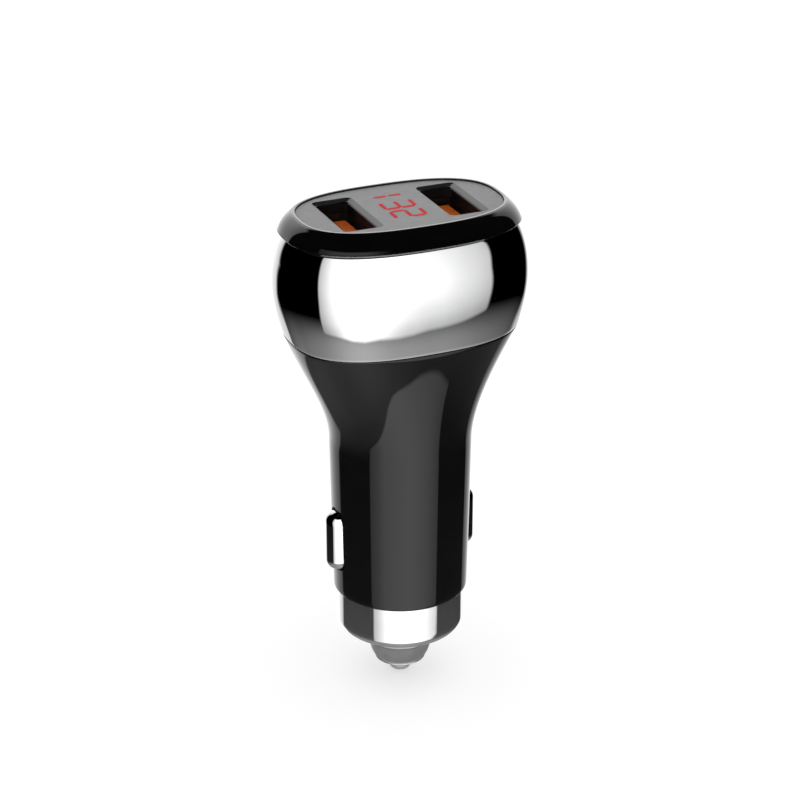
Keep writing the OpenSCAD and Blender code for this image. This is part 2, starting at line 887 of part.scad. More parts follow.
module left_contact_spring() {
    mirror([1, 0, 0])
        side_spring();
}

module right_contact_spring() {
    side_spring();
}

module main_board() {
    wide_bottom = carrier_top + clear_gap;
    color([0.07, 0.3, 0.16])
        rotate([90, 0, 90])
            linear_extrude(board_t, center = true) {
                translate([-tail_half, seat_top + tail_floor])
                    square([tail_w, carrier_top - seat_top]);
                translate([-board_half, wide_bottom])
                    square([2 * board_half, port_board_bottom - clear_gap - wide_bottom]);
                translate([-joint_w / 2, wide_bottom])
                    square([joint_w, port_board_top - wide_bottom]);
            }
}

module port_board() {
    seam = flare_section(1);
    slit = strip_t + 2 * clear_gap;
    color([0.07, 0.3, 0.16])
        translate([0, 0, port_board_bottom])
            linear_extrude(board_t)
                difference() {
                    polygon(oval(seam[0], seam[1], seam[2], -spigot_inset));
                    square([board_t + 2 * clear_gap, joint_w + 2 * clear_gap], center = true);
                    for (side = [-1, 1], y = strip_places)
                        translate([side * port_x + tongue_near_x, y])
                            square([slit, strip_w + 2 * clear_gap], center = true);
                    for (side = lead_rows, k = lead_places)
                        translate([side * lead_pitch, k * lead_pitch])
                            circle(d = lead_d + 2 * slide_gap, $fn = lead_sides);
                }
}

module usb_shell() {
    color([0.72, 0.73, 0.75])
        translate([0, 0, port_board_top])
            linear_extrude(shell_top - port_board_top)
                difference() {
                    round_rect(shell_in_x + 2 * shell_t, shell_in_y + 2 * shell_t, shell_r + shell_t);
                    round_rect(shell_in_x, shell_in_y, shell_r);
                }
}

module usb_tongue() {
    color([0.82, 0.36, 0.08])
        difference() {
            union() {
                translate([0, 0, port_board_top])
                    linear_extrude(tongue_base_h)
                        round_rect(shell_in_x - 2 * block_gap, shell_in_y - 2 * block_gap, shell_r);
                box_between(
                    [tongue_near_x, -tongue_w / 2, port_board_top],
                    [tongue_far_x, tongue_w / 2, tongue_top]
                );
            }
            strip_bars();
        }
}

// The four contact strips of one socket, half sunk in the tongue's near face
module strip_bars() {
    for (y = strip_places)
        box_between(
            [tongue_near_x - strip_t / 2, y - strip_w / 2, port_board_bottom - solder_drop],
            [tongue_near_x + strip_t / 2, y + strip_w / 2, tongue_top - strip_inset]
        );
}

module usb_strips() {
    color([0.85, 0.7, 0.35])
        strip_bars();
}

module left_usb_shell() {
    at_port(-1)
        usb_shell();
}

module right_usb_shell() {
    at_port(1)
        usb_shell();
}

module left_usb_tongue() {
    at_port(-1)
        usb_tongue();
}

module right_usb_tongue() {
    at_port(1)
        usb_tongue();
}

module left_usb_strips() {
    at_port(-1)
        usb_strips();
}

module right_usb_strips() {
    at_port(1)
        usb_strips();
}

module display_module() {
    color([0.12, 0.12, 0.12])
        box_between(
            [-module_wid / 2, -module_len / 2, module_top - module_h],
            [module_wid / 2, module_len / 2, module_top]
        );
}

module display_leads() {
    bottom = port_board_bottom - solder_drop;
    color([0.78, 0.78, 0.76])
        for (side = lead_rows, k = lead_places)
            translate([side * lead_pitch, k * lead_pitch, bottom])
                cylinder(h = module_top - module_h - bottom, d = lead_d, $fn = lead_sides);
}

// A piece on the main board's right face, drawn with its height along Z
module on_right_face(y, z) {
    translate([board_t / 2, y, z])
        rotate([0, 90, 0])
            children();
}

// A piece on the main board's left face, drawn with its height along Z
module on_left_face(y, z) {
    mirror([1, 0, 0])
        on_right_face(y, z)
            children();
}

// A block about its middle on the level of its foot
module block(size, foot = 0) {
    translate([-size[0] / 2, -size[1] / 2, foot])
        cube([size[0], size[1], size[2]]);
}

module inductor_core() {
    color([0.25, 0.25, 0.26])
        on_right_face(0, inductor_z)
            union() {
                cylinder(h = inductor_flange, d = inductor_d);
                cylinder(h = inductor_h, d = inductor_neck_d);
                translate([0, 0, inductor_h - inductor_flange])
                    cylinder(h = inductor_flange, d = inductor_d);
            }
}

module inductor_winding() {
    color([0.72, 0.36, 0.16])
        on_right_face(0, inductor_z)
            translate([0, 0, inductor_flange])
                difference() {
                    cylinder(h = inductor_h - 2 * inductor_flange, d = inductor_d - 2 * winding_inset);
                    translate([0, 0, -past])
                        cylinder(h = inductor_h + past, d = inductor_neck_d);
                }
}

module capacitor() {
    color([0.7, 0.71, 0.73])
        union() {
            block([capacitor_side, capacitor_side, capacitor_foot]);
            cylinder(h = capacitor_h, d = capacitor_d);
        }
}

module input_capacitor() {
    on_left_face(-capacitor_y, capacitor_z)
        capacitor();
}

module output_capacitor() {
    on_left_face(capacitor_y, capacitor_z)
        capacitor();
}

// A chip with legs along both long sides, its height along Z
module legged_chip(size, pitch) {
    leg_w = pitch * leg_share;
    union() {
        block([size[1], size[0], size[2] - leg_t / 2], leg_t / 2);
        for (k = [0 : chip_legs - 1])
            translate([0, (k - (chip_legs - 1) / 2) * pitch, 0])
                block([size[1] + 2 * leg_reach, leg_w, leg_t]);
    }
}

module regulator_chip() {
    color([0.1, 0.1, 0.1])
        on_right_face(0, capacitor_z)
            legged_chip(regulator_size, regulator_pitch);
}

module charge_chip() {
    color([0.1, 0.1, 0.1])
        translate([0, charge_y, port_board_top])
            legged_chip(charge_size, charge_pitch);
}

module input_fuse() {
    color([0.85, 0.84, 0.78])
        on_right_face(fuse_place[0], fuse_place[1])
            block(fuse_size);
}

module input_diode() {
    color([0.12, 0.12, 0.12])
        on_left_face(0, diode_z)
            union() {
                block(diode_size, diode_leg_size[2] / 2);
                block(diode_leg_size);
            }
}

face_panel();
lit_segments();
bezel_cap();
chrome_band();
main_housing();
collar_ring();
tip_nose();
tip_contact();
tip_spring();
tip_seat();
contact_plate();
spring_carrier();
left_side_contact();
right_side_contact();
left_contact_spring();
right_contact_spring();
main_board();
port_board();
left_usb_shell();
right_usb_shell();
left_usb_tongue();
right_usb_tongue();
left_usb_strips();
right_usb_strips();
display_module();
display_leads();
inductor_core();
inductor_winding();
input_capacitor();
output_capacitor();
regulator_chip();
charge_chip();
input_fuse();
input_diode();
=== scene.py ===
import math

import bmesh
import bpy
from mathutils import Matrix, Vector


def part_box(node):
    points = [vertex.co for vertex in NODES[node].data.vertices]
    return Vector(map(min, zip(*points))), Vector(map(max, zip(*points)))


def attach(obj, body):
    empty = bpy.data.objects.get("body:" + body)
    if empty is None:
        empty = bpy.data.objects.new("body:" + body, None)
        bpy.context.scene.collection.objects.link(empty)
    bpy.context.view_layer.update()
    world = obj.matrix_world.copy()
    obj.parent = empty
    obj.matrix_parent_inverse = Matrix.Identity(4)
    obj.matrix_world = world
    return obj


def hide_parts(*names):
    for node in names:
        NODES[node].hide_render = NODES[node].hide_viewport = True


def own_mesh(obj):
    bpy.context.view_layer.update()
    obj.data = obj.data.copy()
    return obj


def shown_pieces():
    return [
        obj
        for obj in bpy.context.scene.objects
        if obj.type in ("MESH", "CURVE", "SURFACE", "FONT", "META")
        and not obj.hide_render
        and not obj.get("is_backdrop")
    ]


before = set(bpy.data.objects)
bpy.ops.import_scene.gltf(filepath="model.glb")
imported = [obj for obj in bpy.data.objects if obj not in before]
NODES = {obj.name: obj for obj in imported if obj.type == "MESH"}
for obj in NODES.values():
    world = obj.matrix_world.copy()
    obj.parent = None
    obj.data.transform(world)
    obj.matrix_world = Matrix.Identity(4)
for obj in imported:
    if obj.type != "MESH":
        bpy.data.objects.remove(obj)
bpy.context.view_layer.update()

MM = 0.001

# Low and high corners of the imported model's nodes, in millimetres like all lengths below
BAND_LOW, BAND_HIGH = (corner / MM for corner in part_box("chrome_band"))
CAP_LOW, CAP_HIGH = (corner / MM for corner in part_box("bezel_cap"))
PANEL_LOW, PANEL_HIGH = (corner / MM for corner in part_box("face_panel"))
COLLAR_LOW, COLLAR_HIGH = (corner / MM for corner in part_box("collar_ring"))
NIB_LOW, NIB_HIGH = (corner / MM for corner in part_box("tip_contact"))
SIDE_LOW, SIDE_HIGH = (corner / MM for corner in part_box("right_side_contact"))
PORT_LOW, PORT_HIGH = (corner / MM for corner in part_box("right_usb_shell"))
DISPLAY_LOW, DISPLAY_HIGH = (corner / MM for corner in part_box("display_module"))
NOSE_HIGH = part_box("tip_nose")[1] / MM
BODY_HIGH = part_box("main_housing")[1] / MM

# The head: levels, half sizes, squareness (CORNER) and lean of its sections, as in the CAD model
SEAM_Z = BAND_LOW.z
BAND_TOP = BAND_HIGH.z
BAND_H = BAND_TOP - SEAM_Z
BULGE_H = 7.8
SEAM_HALF = (17.5, 12.4)
BULGE_HALF = (BAND_HIGH.x, BAND_HIGH.y)
BAND_TOP_HALF = (17.2, 11.0)
SEAM_CORNER = 2.63
CAP_CORNER = 2.52
END_LEAN = math.tan(math.radians(16.2))
SIDE_LEAN = math.tan(math.radians(9.2))
SHOULDER_LEAN = math.tan(math.radians(30))
CAP_HALF = (CAP_HIGH.x, CAP_HIGH.y)
CAP_EDGE_Z = BAND_TOP + 0.4
SLOPE_STRAIGHT = 0.55
LIP_W = 0.45
LIP_HALF = (PANEL_HIGH.x + 0.05 + LIP_W, PANEL_HIGH.y + 0.05 + LIP_W)
SKIRT_HALF = (15.55, 9.35)
# Top of the block that carries a socket's tongue
BLOCK_TOP = PORT_LOW.z + 3.4

# The body
FLARE_H = 18.2
BARREL_H = SEAM_Z - FLARE_H
RIM_R = 10.4
DRAFT = math.tan(math.radians(1.12))
BORE_R = 8.9

# The side contacts, and each slot's distance from the axis and gap, from its inside to its mouth
CONTACT_W = 4.2
CONTACT_LEN = 9.8
CONTACT_CORNER = 1.9
CONTACT_MID = (SIDE_LOW.z + SIDE_HIGH.z) / 2
SLOT_SHAPE = ((5.0, 0.15), (10.0, 0.15), (10.3, 0.22), (10.6, 0.42), (14.0, 2.4))

# The nose and the tip
NOSE_R = 5.0
NOSE_FLANK_R = 6.8
NOSE_STRAIGHT_Z = -9.5
NOSE_EDGE_Z = -12.72
NOSE_END_Z = -12.8
FLANGE_Z = NOSE_HIGH.z - 1.2
CAVITY_R = NOSE_HIGH.x + 0.6
DISC_R = 3.96
DISC_LOW = -13.32
TIP_R = 1.76
TIP_LOW = -15.62
STEM_R = 1.2

# Points round a section
SIDES = 288


def ease(t, a, b, slope_a, slope_b):
    """One stretch of a smooth curve from a to b, with its slopes at both ends."""
    return (
        a * (1 - 3 * t * t + 2 * t ** 3)
        + b * (3 * t * t - 2 * t ** 3)
        + slope_a * (t - 2 * t * t + t ** 3)
        + slope_b * (t ** 3 - t * t)
    )


def oval_ring(half, corner, z, more=0.0, sides=SIDES):
    """A level ring of points round a rounded oval, grown by more on every side."""
    ring = []
    for i in range(sides):
        c = math.cos(math.tau * i / sides)
        s = math.sin(math.tau * i / sides)
        x = math.copysign(abs(c) ** (2 / corner), c) * (half[0] + more)
        y = math.copysign(abs(s) ** (2 / corner), s) * (half[1] + more)
        ring.append((x, y, z))
    return ring


def round_ring(r, z, sides=SIDES):
    """A level ring of points on a circle."""
    return oval_ring((r, r), 2, z, 0, sides)


def arc(count, start=0.0, end=90.0):
    """Cosines and sines of count + 1 angles from start to end, in degrees."""
    angles = [math.radians(start + (end - start) * k / count) for k in range(count + 1)]
    return [(math.cos(a), math.sin(a)) for a in angles]


def mesh_piece(name, points, faces):
    """A mesh object from points in millimetres."""
    mesh = bpy.data.meshes.new(name)
    mesh.from_pydata([Vector(p) * MM for p in points], [], faces)
    work = bmesh.new()
    work.from_mesh(mesh)
    bmesh.ops.recalc_face_normals(work, faces=work.faces)
    work.to_mesh(mesh)
    work.free()
    piece = bpy.data.objects.new(name, mesh)
    bpy.context.scene.collection.objects.link(piece)
    return piece


def ring_piece(name, rings, looped=True):
    """A closed skin through all rings in turn, and back to the first one or capped at both ends."""
    sides = len(rings[0])
    points = [point for ring in rings for point in ring]
    faces = []
    last = len(rings) if looped else len(rings) - 1
    for k in range(last):
        here = k * sides
        above = ((k + 1) % len(rings)) * sides
        for i in range(sides):
            j = (i + 1) % sides
            faces.append((here + i, here + j, above + j, above + i))
    if not looped:
        faces.append(tuple(range(sides)))
        faces.append(tuple(len(points) - sides + i for i in range(sides)))
    return mesh_piece(name, points, faces)


def revolved(name, profile):
    """A closed ring turned from a profile of radius and height."""
    return ring_piece(name, [round_ring(r, z) for r, z in profile])


def bead(name, r, middle_z, wire_r):
    """A round ring, turned from a circle."""
    return revolved(name, [(r + wire_r * c, middle_z + wire_r * s) for c, s in arc(16, 0, 360)[:-1]])


def prism(name, outline, low, high, axis="Z"):
    """A straight prism over an outline, from low to high along X or Z."""
    if axis == "X":
        rings = [[(w, u, v) for u, v in outline] for w in (low, high)]
    else:
        rings = [[(u, v, w) for u, v in outline] for w in (low, high)]
    return ring_piece(name, rings, looped=False)


def round_rect(w, h, r, middle=(0.0, 0.0), steps=12):
    """Outline of a rectangle with round corners."""
    points = []
    for quarter, (sx, sy) in enumerate(((1, 1), (-1, 1), (-1, -1), (1, -1))):
        for c, s in arc(steps, 90 * quarter, 90 * quarter + 90):
            x = middle[0] + sx * (w / 2 - r) + r * c
            y = middle[1] + sy * (h / 2 - r) + r * s
            points.append((x, y))
    return points


def combine(piece, cutter, operation):
    """Joins the cutter to the piece or takes it away, and removes the cutter."""
    step = piece.modifiers.new("step", "BOOLEAN")
    step.operation = operation
    step.solver = "EXACT"
    step.object = cutter
    bpy.context.view_layer.update()
    shown = piece.evaluated_get(bpy.context.evaluated_depsgraph_get())
    result = bpy.data.meshes.new_from_object(shown)
    piece.modifiers.clear()
    old = piece.data
    piece.data = result
    bpy.data.meshes.remove(old)
    bpy.data.objects.remove(cutter)


def smooth(piece, sharp_angle):
    """Smooth shading with sharp edges where the form turns by more than an angle in degrees."""
    piece.data.shade_smooth()
    piece.data.set_sharp_from_angle(angle=math.radians(sharp_angle))
    even = piece.modifiers.new("even_normals", "WEIGHTED_NORMAL")
    even.keep_sharp = True
    even.weight = 60


class Graph:
    """Adds nodes to a shader; most calls give back an output socket."""

    def __init__(self, tree):
        self.tree = tree
        tree.nodes.clear()

    def put(self, socket, value):
        """Links a socket to the input, or sets a number or colour on it."""
        if isinstance(value, bpy.types.NodeSocket):
            self.tree.links.new(value, socket)
        else:
            socket.default_value = value

    def node(self, kind, inputs=None, **settings):
        """A new node, which is given back itself."""
        new = self.tree.nodes.new(kind)
        for key, value in settings.items():
            setattr(new, key, value)
        for key, value in (inputs or {}).items():
            self.put(new.inputs[key], value)
        return new

    def math(self, operation, *values):
        """A math node on numbers or sockets."""
        new = self.node("ShaderNodeMath", operation=operation)
        for socket, value in zip(new.inputs, values):
            self.put(socket, value)
        return new.outputs[0]

    def add(self, *values):
        total = values[0]
        for value in values[1:]:
            total = self.math("ADD", total, value)
        return total

    def times(self, *values):
        total = values[0]
        for value in values[1:]:
            total = self.math("MULTIPLY", total, value)
        return total

    def ramp(self, value, low, high, start=0.0, end=1.0, kind="SMOOTHSTEP"):
        """Runs from start to end while value runs from low to high."""
        new = self.node("ShaderNodeMapRange", interpolation_type=kind)
        for key, number in (
            ("Value", value), ("From Min", low), ("From Max", high), ("To Min", start), ("To Max", end)
        ):
            self.put(new.inputs[key], number)
        return new.outputs[0]

    def curve(self, value, low, high, stops):
        """A broken line through stops of value and height, with every height from 0 to 2."""
        place = self.ramp(value, low, high, kind="LINEAR")
        new = self.node("ShaderNodeValToRGB", {0: place})
        new.color_ramp.interpolation = "LINEAR"
        elements = new.color_ramp.elements
        while len(elements) < len(stops):
            elements.new(1.0)
        for element, (at, height) in zip(elements, stops):
            element.position = (at - low) / (high - low)
            element.color = (height / 2,) * 3 + (1.0,)
        return self.times(new.outputs[0], 2.0)

    def mix(self, factor, a, b):
        """A colour between a and b."""
        new = self.node("ShaderNodeMix", data_type="RGBA")
        self.put(new.inputs[0], factor)
        self.put(new.inputs[6], a)
        self.put(new.inputs[7], b)
        return new.outputs[2]

    def place(self):
        """A point's place in the piece's own space, in metres."""
        return self.node("ShaderNodeTexCoord").outputs["Object"]

    def axes(self, vector):
        """The three parts of a vector."""
        return self.node("ShaderNodeSeparateXYZ", {0: vector}).outputs

    def noise(self, scale, detail=3.0, offset=0.0, stretch=(1.0, 1.0, 1.0), roughness=0.55):
        """Noise in the piece's own space, with scale in waves per millimetre."""
        moved = self.node(
            "ShaderNodeMapping",
            {
                "Vector": self.place(), "Scale": tuple(s / MM for s in stretch),
                "Location": (offset,) * 3,
            },
        )
        new = self.node(
            "ShaderNodeTexNoise",
            {"Vector": moved.outputs[0], "Scale": scale, "Detail": detail, "Roughness": roughness},
        )
        return new.outputs["Fac"]

    def bump(self, height, depth):
        """A bump whose full height stands for a depth in millimetres."""
        new = self.node("ShaderNodeBump", {"Height": height, "Strength": 1.0, "Distance": depth * MM})
        return new.outputs[0]


def grey(value, tint=(1.0, 1.0, 1.0)):
    """A colour of one value, or of a value times a tint."""
    return tuple(value * t for t in tint) + (1.0,)


def material(name, dark, light, rough, scale=0.8, metal=0.0, bump=None, build=None, **constants):
    """A surface whose colour and roughness vary softly, with an optional bump of noise."""
    new = bpy.data.materials.new(name)
    new.use_nodes = True
    graph = Graph(new.node_tree)
    out = graph.node("ShaderNodeOutputMaterial")
    shader = graph.node("ShaderNodeBsdfPrincipled")
    graph.put(shader.inputs["Metallic"], metal)
    graph.put(shader.inputs["IOR"], 1.5)
    for key, value in constants.items():
        graph.put(shader.inputs[key.replace("_", " ")], value)
    colour = graph.mix(graph.ramp(graph.noise(scale), 0.3, 0.7), dark, light)
    gloss = graph.ramp(graph.noise(scale * 2.3, offset=5), 0.3, 0.7, *rough)
    graph.put(shader.inputs["Base Color"], colour)
    graph.put(shader.inputs["Roughness"], gloss)
    if bump:
        graph.put(shader.inputs["Normal"], graph.bump(graph.noise(bump[0], 4), bump[1]))
    if build:
        build(graph, shader)
    graph.put(out.inputs["Surface"], shader.outputs[0])
    return new


def behind(shader, name):
    """The socket that an input of a shader is linked to."""
    return shader.inputs[name].links[0].from_socket


def dress(piece, surface):
    """Gives a piece one material."""
    piece.data.materials.clear()
    piece.data.materials.append(surface)


def settle(piece, body, surface, slot, *nodes):
    """Finishes a piece that stands for CAD nodes."""
    dress(piece, surface)
    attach(piece, body)
    if nodes:
        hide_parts(*nodes)


# Materials
def face_painted_shade(graph, shader):
    """Painted shade: the mouths' walls that face the front are painted near black, and walls that face
    left a darker grey.
    """
    normal = graph.axes(graph.node("ShaderNodeNewGeometry").outputs["Normal"])
    toward_front = graph.math("MULTIPLY", normal[1], -1.0)
    toward_left = graph.math("MULTIPLY", normal[0], -1.0)
    base = behind(shader, "Base Color")
    # Painted shade: darker grey on walls facing left, near black on walls facing the front
    side = graph.mix(graph.ramp(toward_left, 0.3, 0.6), base, grey(0.21))
    wall = graph.ramp(toward_front, 0.35, 0.55)
    graph.put(shader.inputs["Base Color"], graph.mix(wall, side, grey(0.002)))


def cap_inside(graph, shader):
    """Under the panel the cap's walls are matt, as the mould leaves them."""
    axes = graph.axes(graph.place())
    inside = graph.times(
        graph.ramp(graph.math("ABSOLUTE", axes[0]), 11.5 * MM, 12.1 * MM, 1, 0),
        graph.ramp(graph.math("ABSOLUTE", axes[1]), 6.6 * MM, 7.1 * MM, 1, 0),
    )
    gloss = behind(shader, "Roughness")
    graph.put(shader.inputs["Roughness"], graph.add(gloss, graph.times(inside, 0.55)))


def turned(graph, shader):
    """Fine turning lines round the axis."""
    lines = graph.noise(3.4, stretch=(0.02, 0.02, 1.0), roughness=0.5)
    graph.put(shader.inputs["Normal"], graph.bump(lines, 0.02))


def lit(graph, shader):
    """The bars glow a little unevenly, as diffused light does."""
    glow = graph.ramp(graph.noise(1.6), 0.3, 0.7, 0.82, 1.0)
    graph.put(shader.inputs["Emission Color"], grey(1.0, (0.52, 0.004, 0.01)))
    graph.put(shader.inputs["Emission Strength"], glow)


def moulded(graph, shader):
    """Painted shade: below the tongue, deep in the socket, the colour turns to a near-black brown."""
    level = graph.axes(graph.place())[2]
    # Painted shade: near-black brown below this level, the tongue's orange above it
    high = graph.ramp(level, (BLOCK_TOP + 0.1) * MM, (BLOCK_TOP + 1.2) * MM)
    colour = graph.mix(high, grey(0.004, (1, 0.5, 0.3)), behind(shader, "Base Color"))
    graph.put(shader.inputs["Base Color"], colour)


def traces(graph, shader):
    """Copper runs that shine through the solder mask."""
    spread = graph.node("ShaderNodeMapping", {"Vector": graph.place(), "Scale": (0.9 / MM,) * 3})
    runs = graph.node(
        "ShaderNodeTexVoronoi", {"Vector": spread.outputs[0], "Scale": 0.6}, feature="DISTANCE_TO_EDGE"
    )
    line = graph.ramp(runs.outputs["Distance"], 0.03, 0.06, 1.0, 0.0)
    colour = graph.mix(line, behind(shader, "Base Color"), grey(1, (0.04, 0.24, 0.08)))
    graph.put(shader.inputs["Base Color"], colour)


# The face panel's grey, with painted shade on its mouths' walls
FACE = material(
    "face_plastic", grey(0.238), grey(0.255, (1, 1, 1.01)), (0.42, 0.5), 0.5, bump=(14, 0.004),
    build=face_painted_shade, Specular_IOR_Level=0.25,
)
CAP = material(
    "cap_gloss", grey(0.0016), grey(0.0024), (0.015, 0.035), 0.3, bump=(0.35, 0.0004),
    build=cap_inside,
)
BODY = material(
    "body_gloss", grey(0.0044), grey(0.0053), (0.02, 0.045), 0.25, bump=(0.3, 0.0004)
)
CHROME = material(
    "band_mirror", grey(0.9), grey(0.93, (0.995, 1, 1.01)), (0.012, 0.03), 0.25, metal=1.0,
    bump=(0.2, 0.0003),
)
COLLAR = material("collar_mirror", grey(0.84), grey(0.88), (0.03, 0.05), 0.5, metal=0.95)
SIDE_CHROME = material(
    "side_contact_mirror", grey(0.88), grey(0.92), (0.02, 0.04), 0.6, metal=1.0
)
NOSE = material("nose_turned", grey(0.27), grey(0.3), (0.3, 0.4), 0.6, build=turned)
RING = material(
    "ring_satin", grey(0.7), grey(0.76), (0.45, 0.55), 0.6, metal=0.2, bump=(3, 0.002)
)
PIN = material(
    "pin_satin", grey(0.52), grey(0.57), (0.4, 0.5), 0.6, metal=0.2, bump=(3, 0.002)
)
NIB = material(
    "nib_nickel", grey(0.72), grey(0.78), (0.12, 0.2), 1.2, metal=0.85, bump=(3, 0.002)
)
LIT = material(
    "lit_bar", grey(0.02, (1, 0.03, 0.03)), grey(0.03, (1, 0.04, 0.04)), (0.4, 0.5), build=lit,
    Specular_IOR_Level=0.1,
)
# The tongue's orange, with painted shade deep in the socket below it
TONGUE = material(
    "tongue_plastic", grey(1, (0.46, 0.08, 0.006)), grey(1, (0.56, 0.105, 0.009)), (0.3, 0.42), 0.9,
    bump=(4, 0.004), build=moulded,
)
# Painted shade: the sockets' sheet-metal shells are coloured a matt near-black brown, the look of
# their shaded insides
SHELL = material(
    "shell_painted_shade", grey(0.007, (1, 0.7, 0.5)), grey(0.014, (1, 0.75, 0.55)), (0.5, 0.6), 1.0,
    bump=(3, 0.003), Specular_IOR_Level=0.2,
)
STRIP = material(
    "strip_brass", grey(0.72, (1, 0.78, 0.42)), grey(0.8, (1, 0.8, 0.45)), (0.2, 0.3), metal=1.0
)
STEEL = material(
    "spring_wire", grey(0.46), grey(0.56), (0.25, 0.36), 1.5, metal=1.0, bump=(5, 0.004)
)
CREAM = material(
    "moulded_cream", grey(0.68, (1, 0.97, 0.9)), grey(0.74, (1, 0.97, 0.9)), (0.4, 0.5),
    bump=(6, 0.004),
)
MASK = material(
    "solder_mask", grey(1, (0.012, 0.12, 0.04)), grey(1, (0.02, 0.16, 0.06)), (0.25, 0.35),
    build=traces,
)
BLACK = material("moulded_black", grey(0.016), grey(0.026), (0.35, 0.5), bump=(6, 0.005))
FERRITE = material("sintered_ferrite", grey(0.06), grey(0.1), (0.6, 0.8), 2.5, bump=(8, 0.02))
COPPER = material(
    "enamelled_copper", grey(0.6, (1, 0.36, 0.14)), grey(0.66, (1, 0.4, 0.16)), (0.25, 0.35),
    metal=1.0, build=turned,
)
CAN = material("drawn_can", grey(0.62), grey(0.72), (0.25, 0.35), 0.8, metal=1.0, bump=(1.5, 0.003))
GLAZE = material(
    "glazed_white", grey(0.66, (1, 0.98, 0.88)), grey(0.72, (1, 0.98, 0.9)), (0.2, 0.3)
)

for names, surface in (
    ("face_panel", FACE), ("lit_segments", LIT), ("bezel_cap", CAP), ("chrome_band", CHROME),
    ("main_housing", BODY), ("collar_ring", COLLAR), ("tip_nose", NOSE), ("tip_contact", NIB),
    ("left_side_contact right_side_contact", SIDE_CHROME),
    ("left_usb_tongue right_usb_tongue", TONGUE), ("left_usb_shell right_usb_shell", SHELL),
    ("left_usb_strips right_usb_strips contact_plate display_leads", STRIP),
    ("tip_spring left_contact_spring right_contact_spring", STEEL),
    ("tip_seat spring_carrier", CREAM), ("main_board port_board", MASK),
    ("display_module regulator_chip charge_chip input_diode", BLACK),
    ("inductor_core", FERRITE), ("inductor_winding", COPPER),
    ("input_capacitor output_capacitor", CAN), ("input_fuse", GLAZE),
):
    for name in names.split():
        dress(NODES[name], surface)


# The bright band
def band_section(height):
    """Half sizes and squareness of the band at a height above the seam."""
    corner = SEAM_CORNER + (CAP_CORNER - SEAM_CORNER) * height / BAND_H
    if height <= BULGE_H:
        t = height / BULGE_H
        half = (
            ease(t, SEAM_HALF[0], BULGE_HALF[0], END_LEAN * BULGE_H, 0),
            ease(t, SEAM_HALF[1], BULGE_HALF[1], SIDE_LEAN * BULGE_H, 0),
        )
    else:
        rest = BAND_H - BULGE_H
        t = (height - BULGE_H) / rest
        half = (
            ease(t, BULGE_HALF[0], BAND_TOP_HALF[0], 0, -SHOULDER_LEAN * rest),
            ease(t, BULGE_HALF[1], BAND_TOP_HALF[1], 0, -SHOULDER_LEAN * rest),
        )
    return half, corner


def band_ring(height, more=0.0):
    """A ring of the band at a height above the seam."""
    half, corner = band_section(height)
    return oval_ring(half, corner, SEAM_Z + height, more)


def make_band():
    """The band's skin, with its lower and upper edge rounded and its inner side."""
    low_r, high_r, wall, levels, inner_levels = 0.25, 0.3, 1.5, 48, 12
    rings = [band_ring(0, -wall), band_ring(0, -wall / 2)]
    rings += [band_ring(low_r * (1 - c), low_r * (s - 1)) for c, s in arc(6)]
    for k in range(1, levels):
        rings.append(band_ring(low_r + (BAND_H - low_r - high_r) * k / levels))
    rings += [band_ring(BAND_H - high_r * (1 - s), high_r * (c - 1)) for c, s in arc(6)]
    rings.append(band_ring(BAND_H, -wall / 2))
    rings += [band_ring(BAND_H * k / inner_levels, -wall) for k in range(inner_levels, 0, -1)]
    piece = ring_piece("band_skin", rings)
    smooth(piece, 60)
    settle(piece, "root", CHROME, "band_chrome", "chrome_band")


make_band()


# The cap
def cap_slope(t):
    """Half sizes, squareness and level of the cap's slope, from the sharp edge to the lip."""
    rest = 1 - SLOPE_STRAIGHT
    inward = SLOPE_STRAIGHT * t + rest * (1 - math.cos(math.pi / 2 * t))
    rise = SLOPE_STRAIGHT * t + rest * math.sin(math.pi / 2 * t)
    half = tuple(e + (l - e) * inward for e, l in zip(CAP_HALF, LIP_HALF))
    corner = CAP_CORNER + (SEAM_CORNER - CAP_CORNER) * inward
    return half, corner, CAP_EDGE_Z + (CAP_HIGH.z - CAP_EDGE_Z) * rise


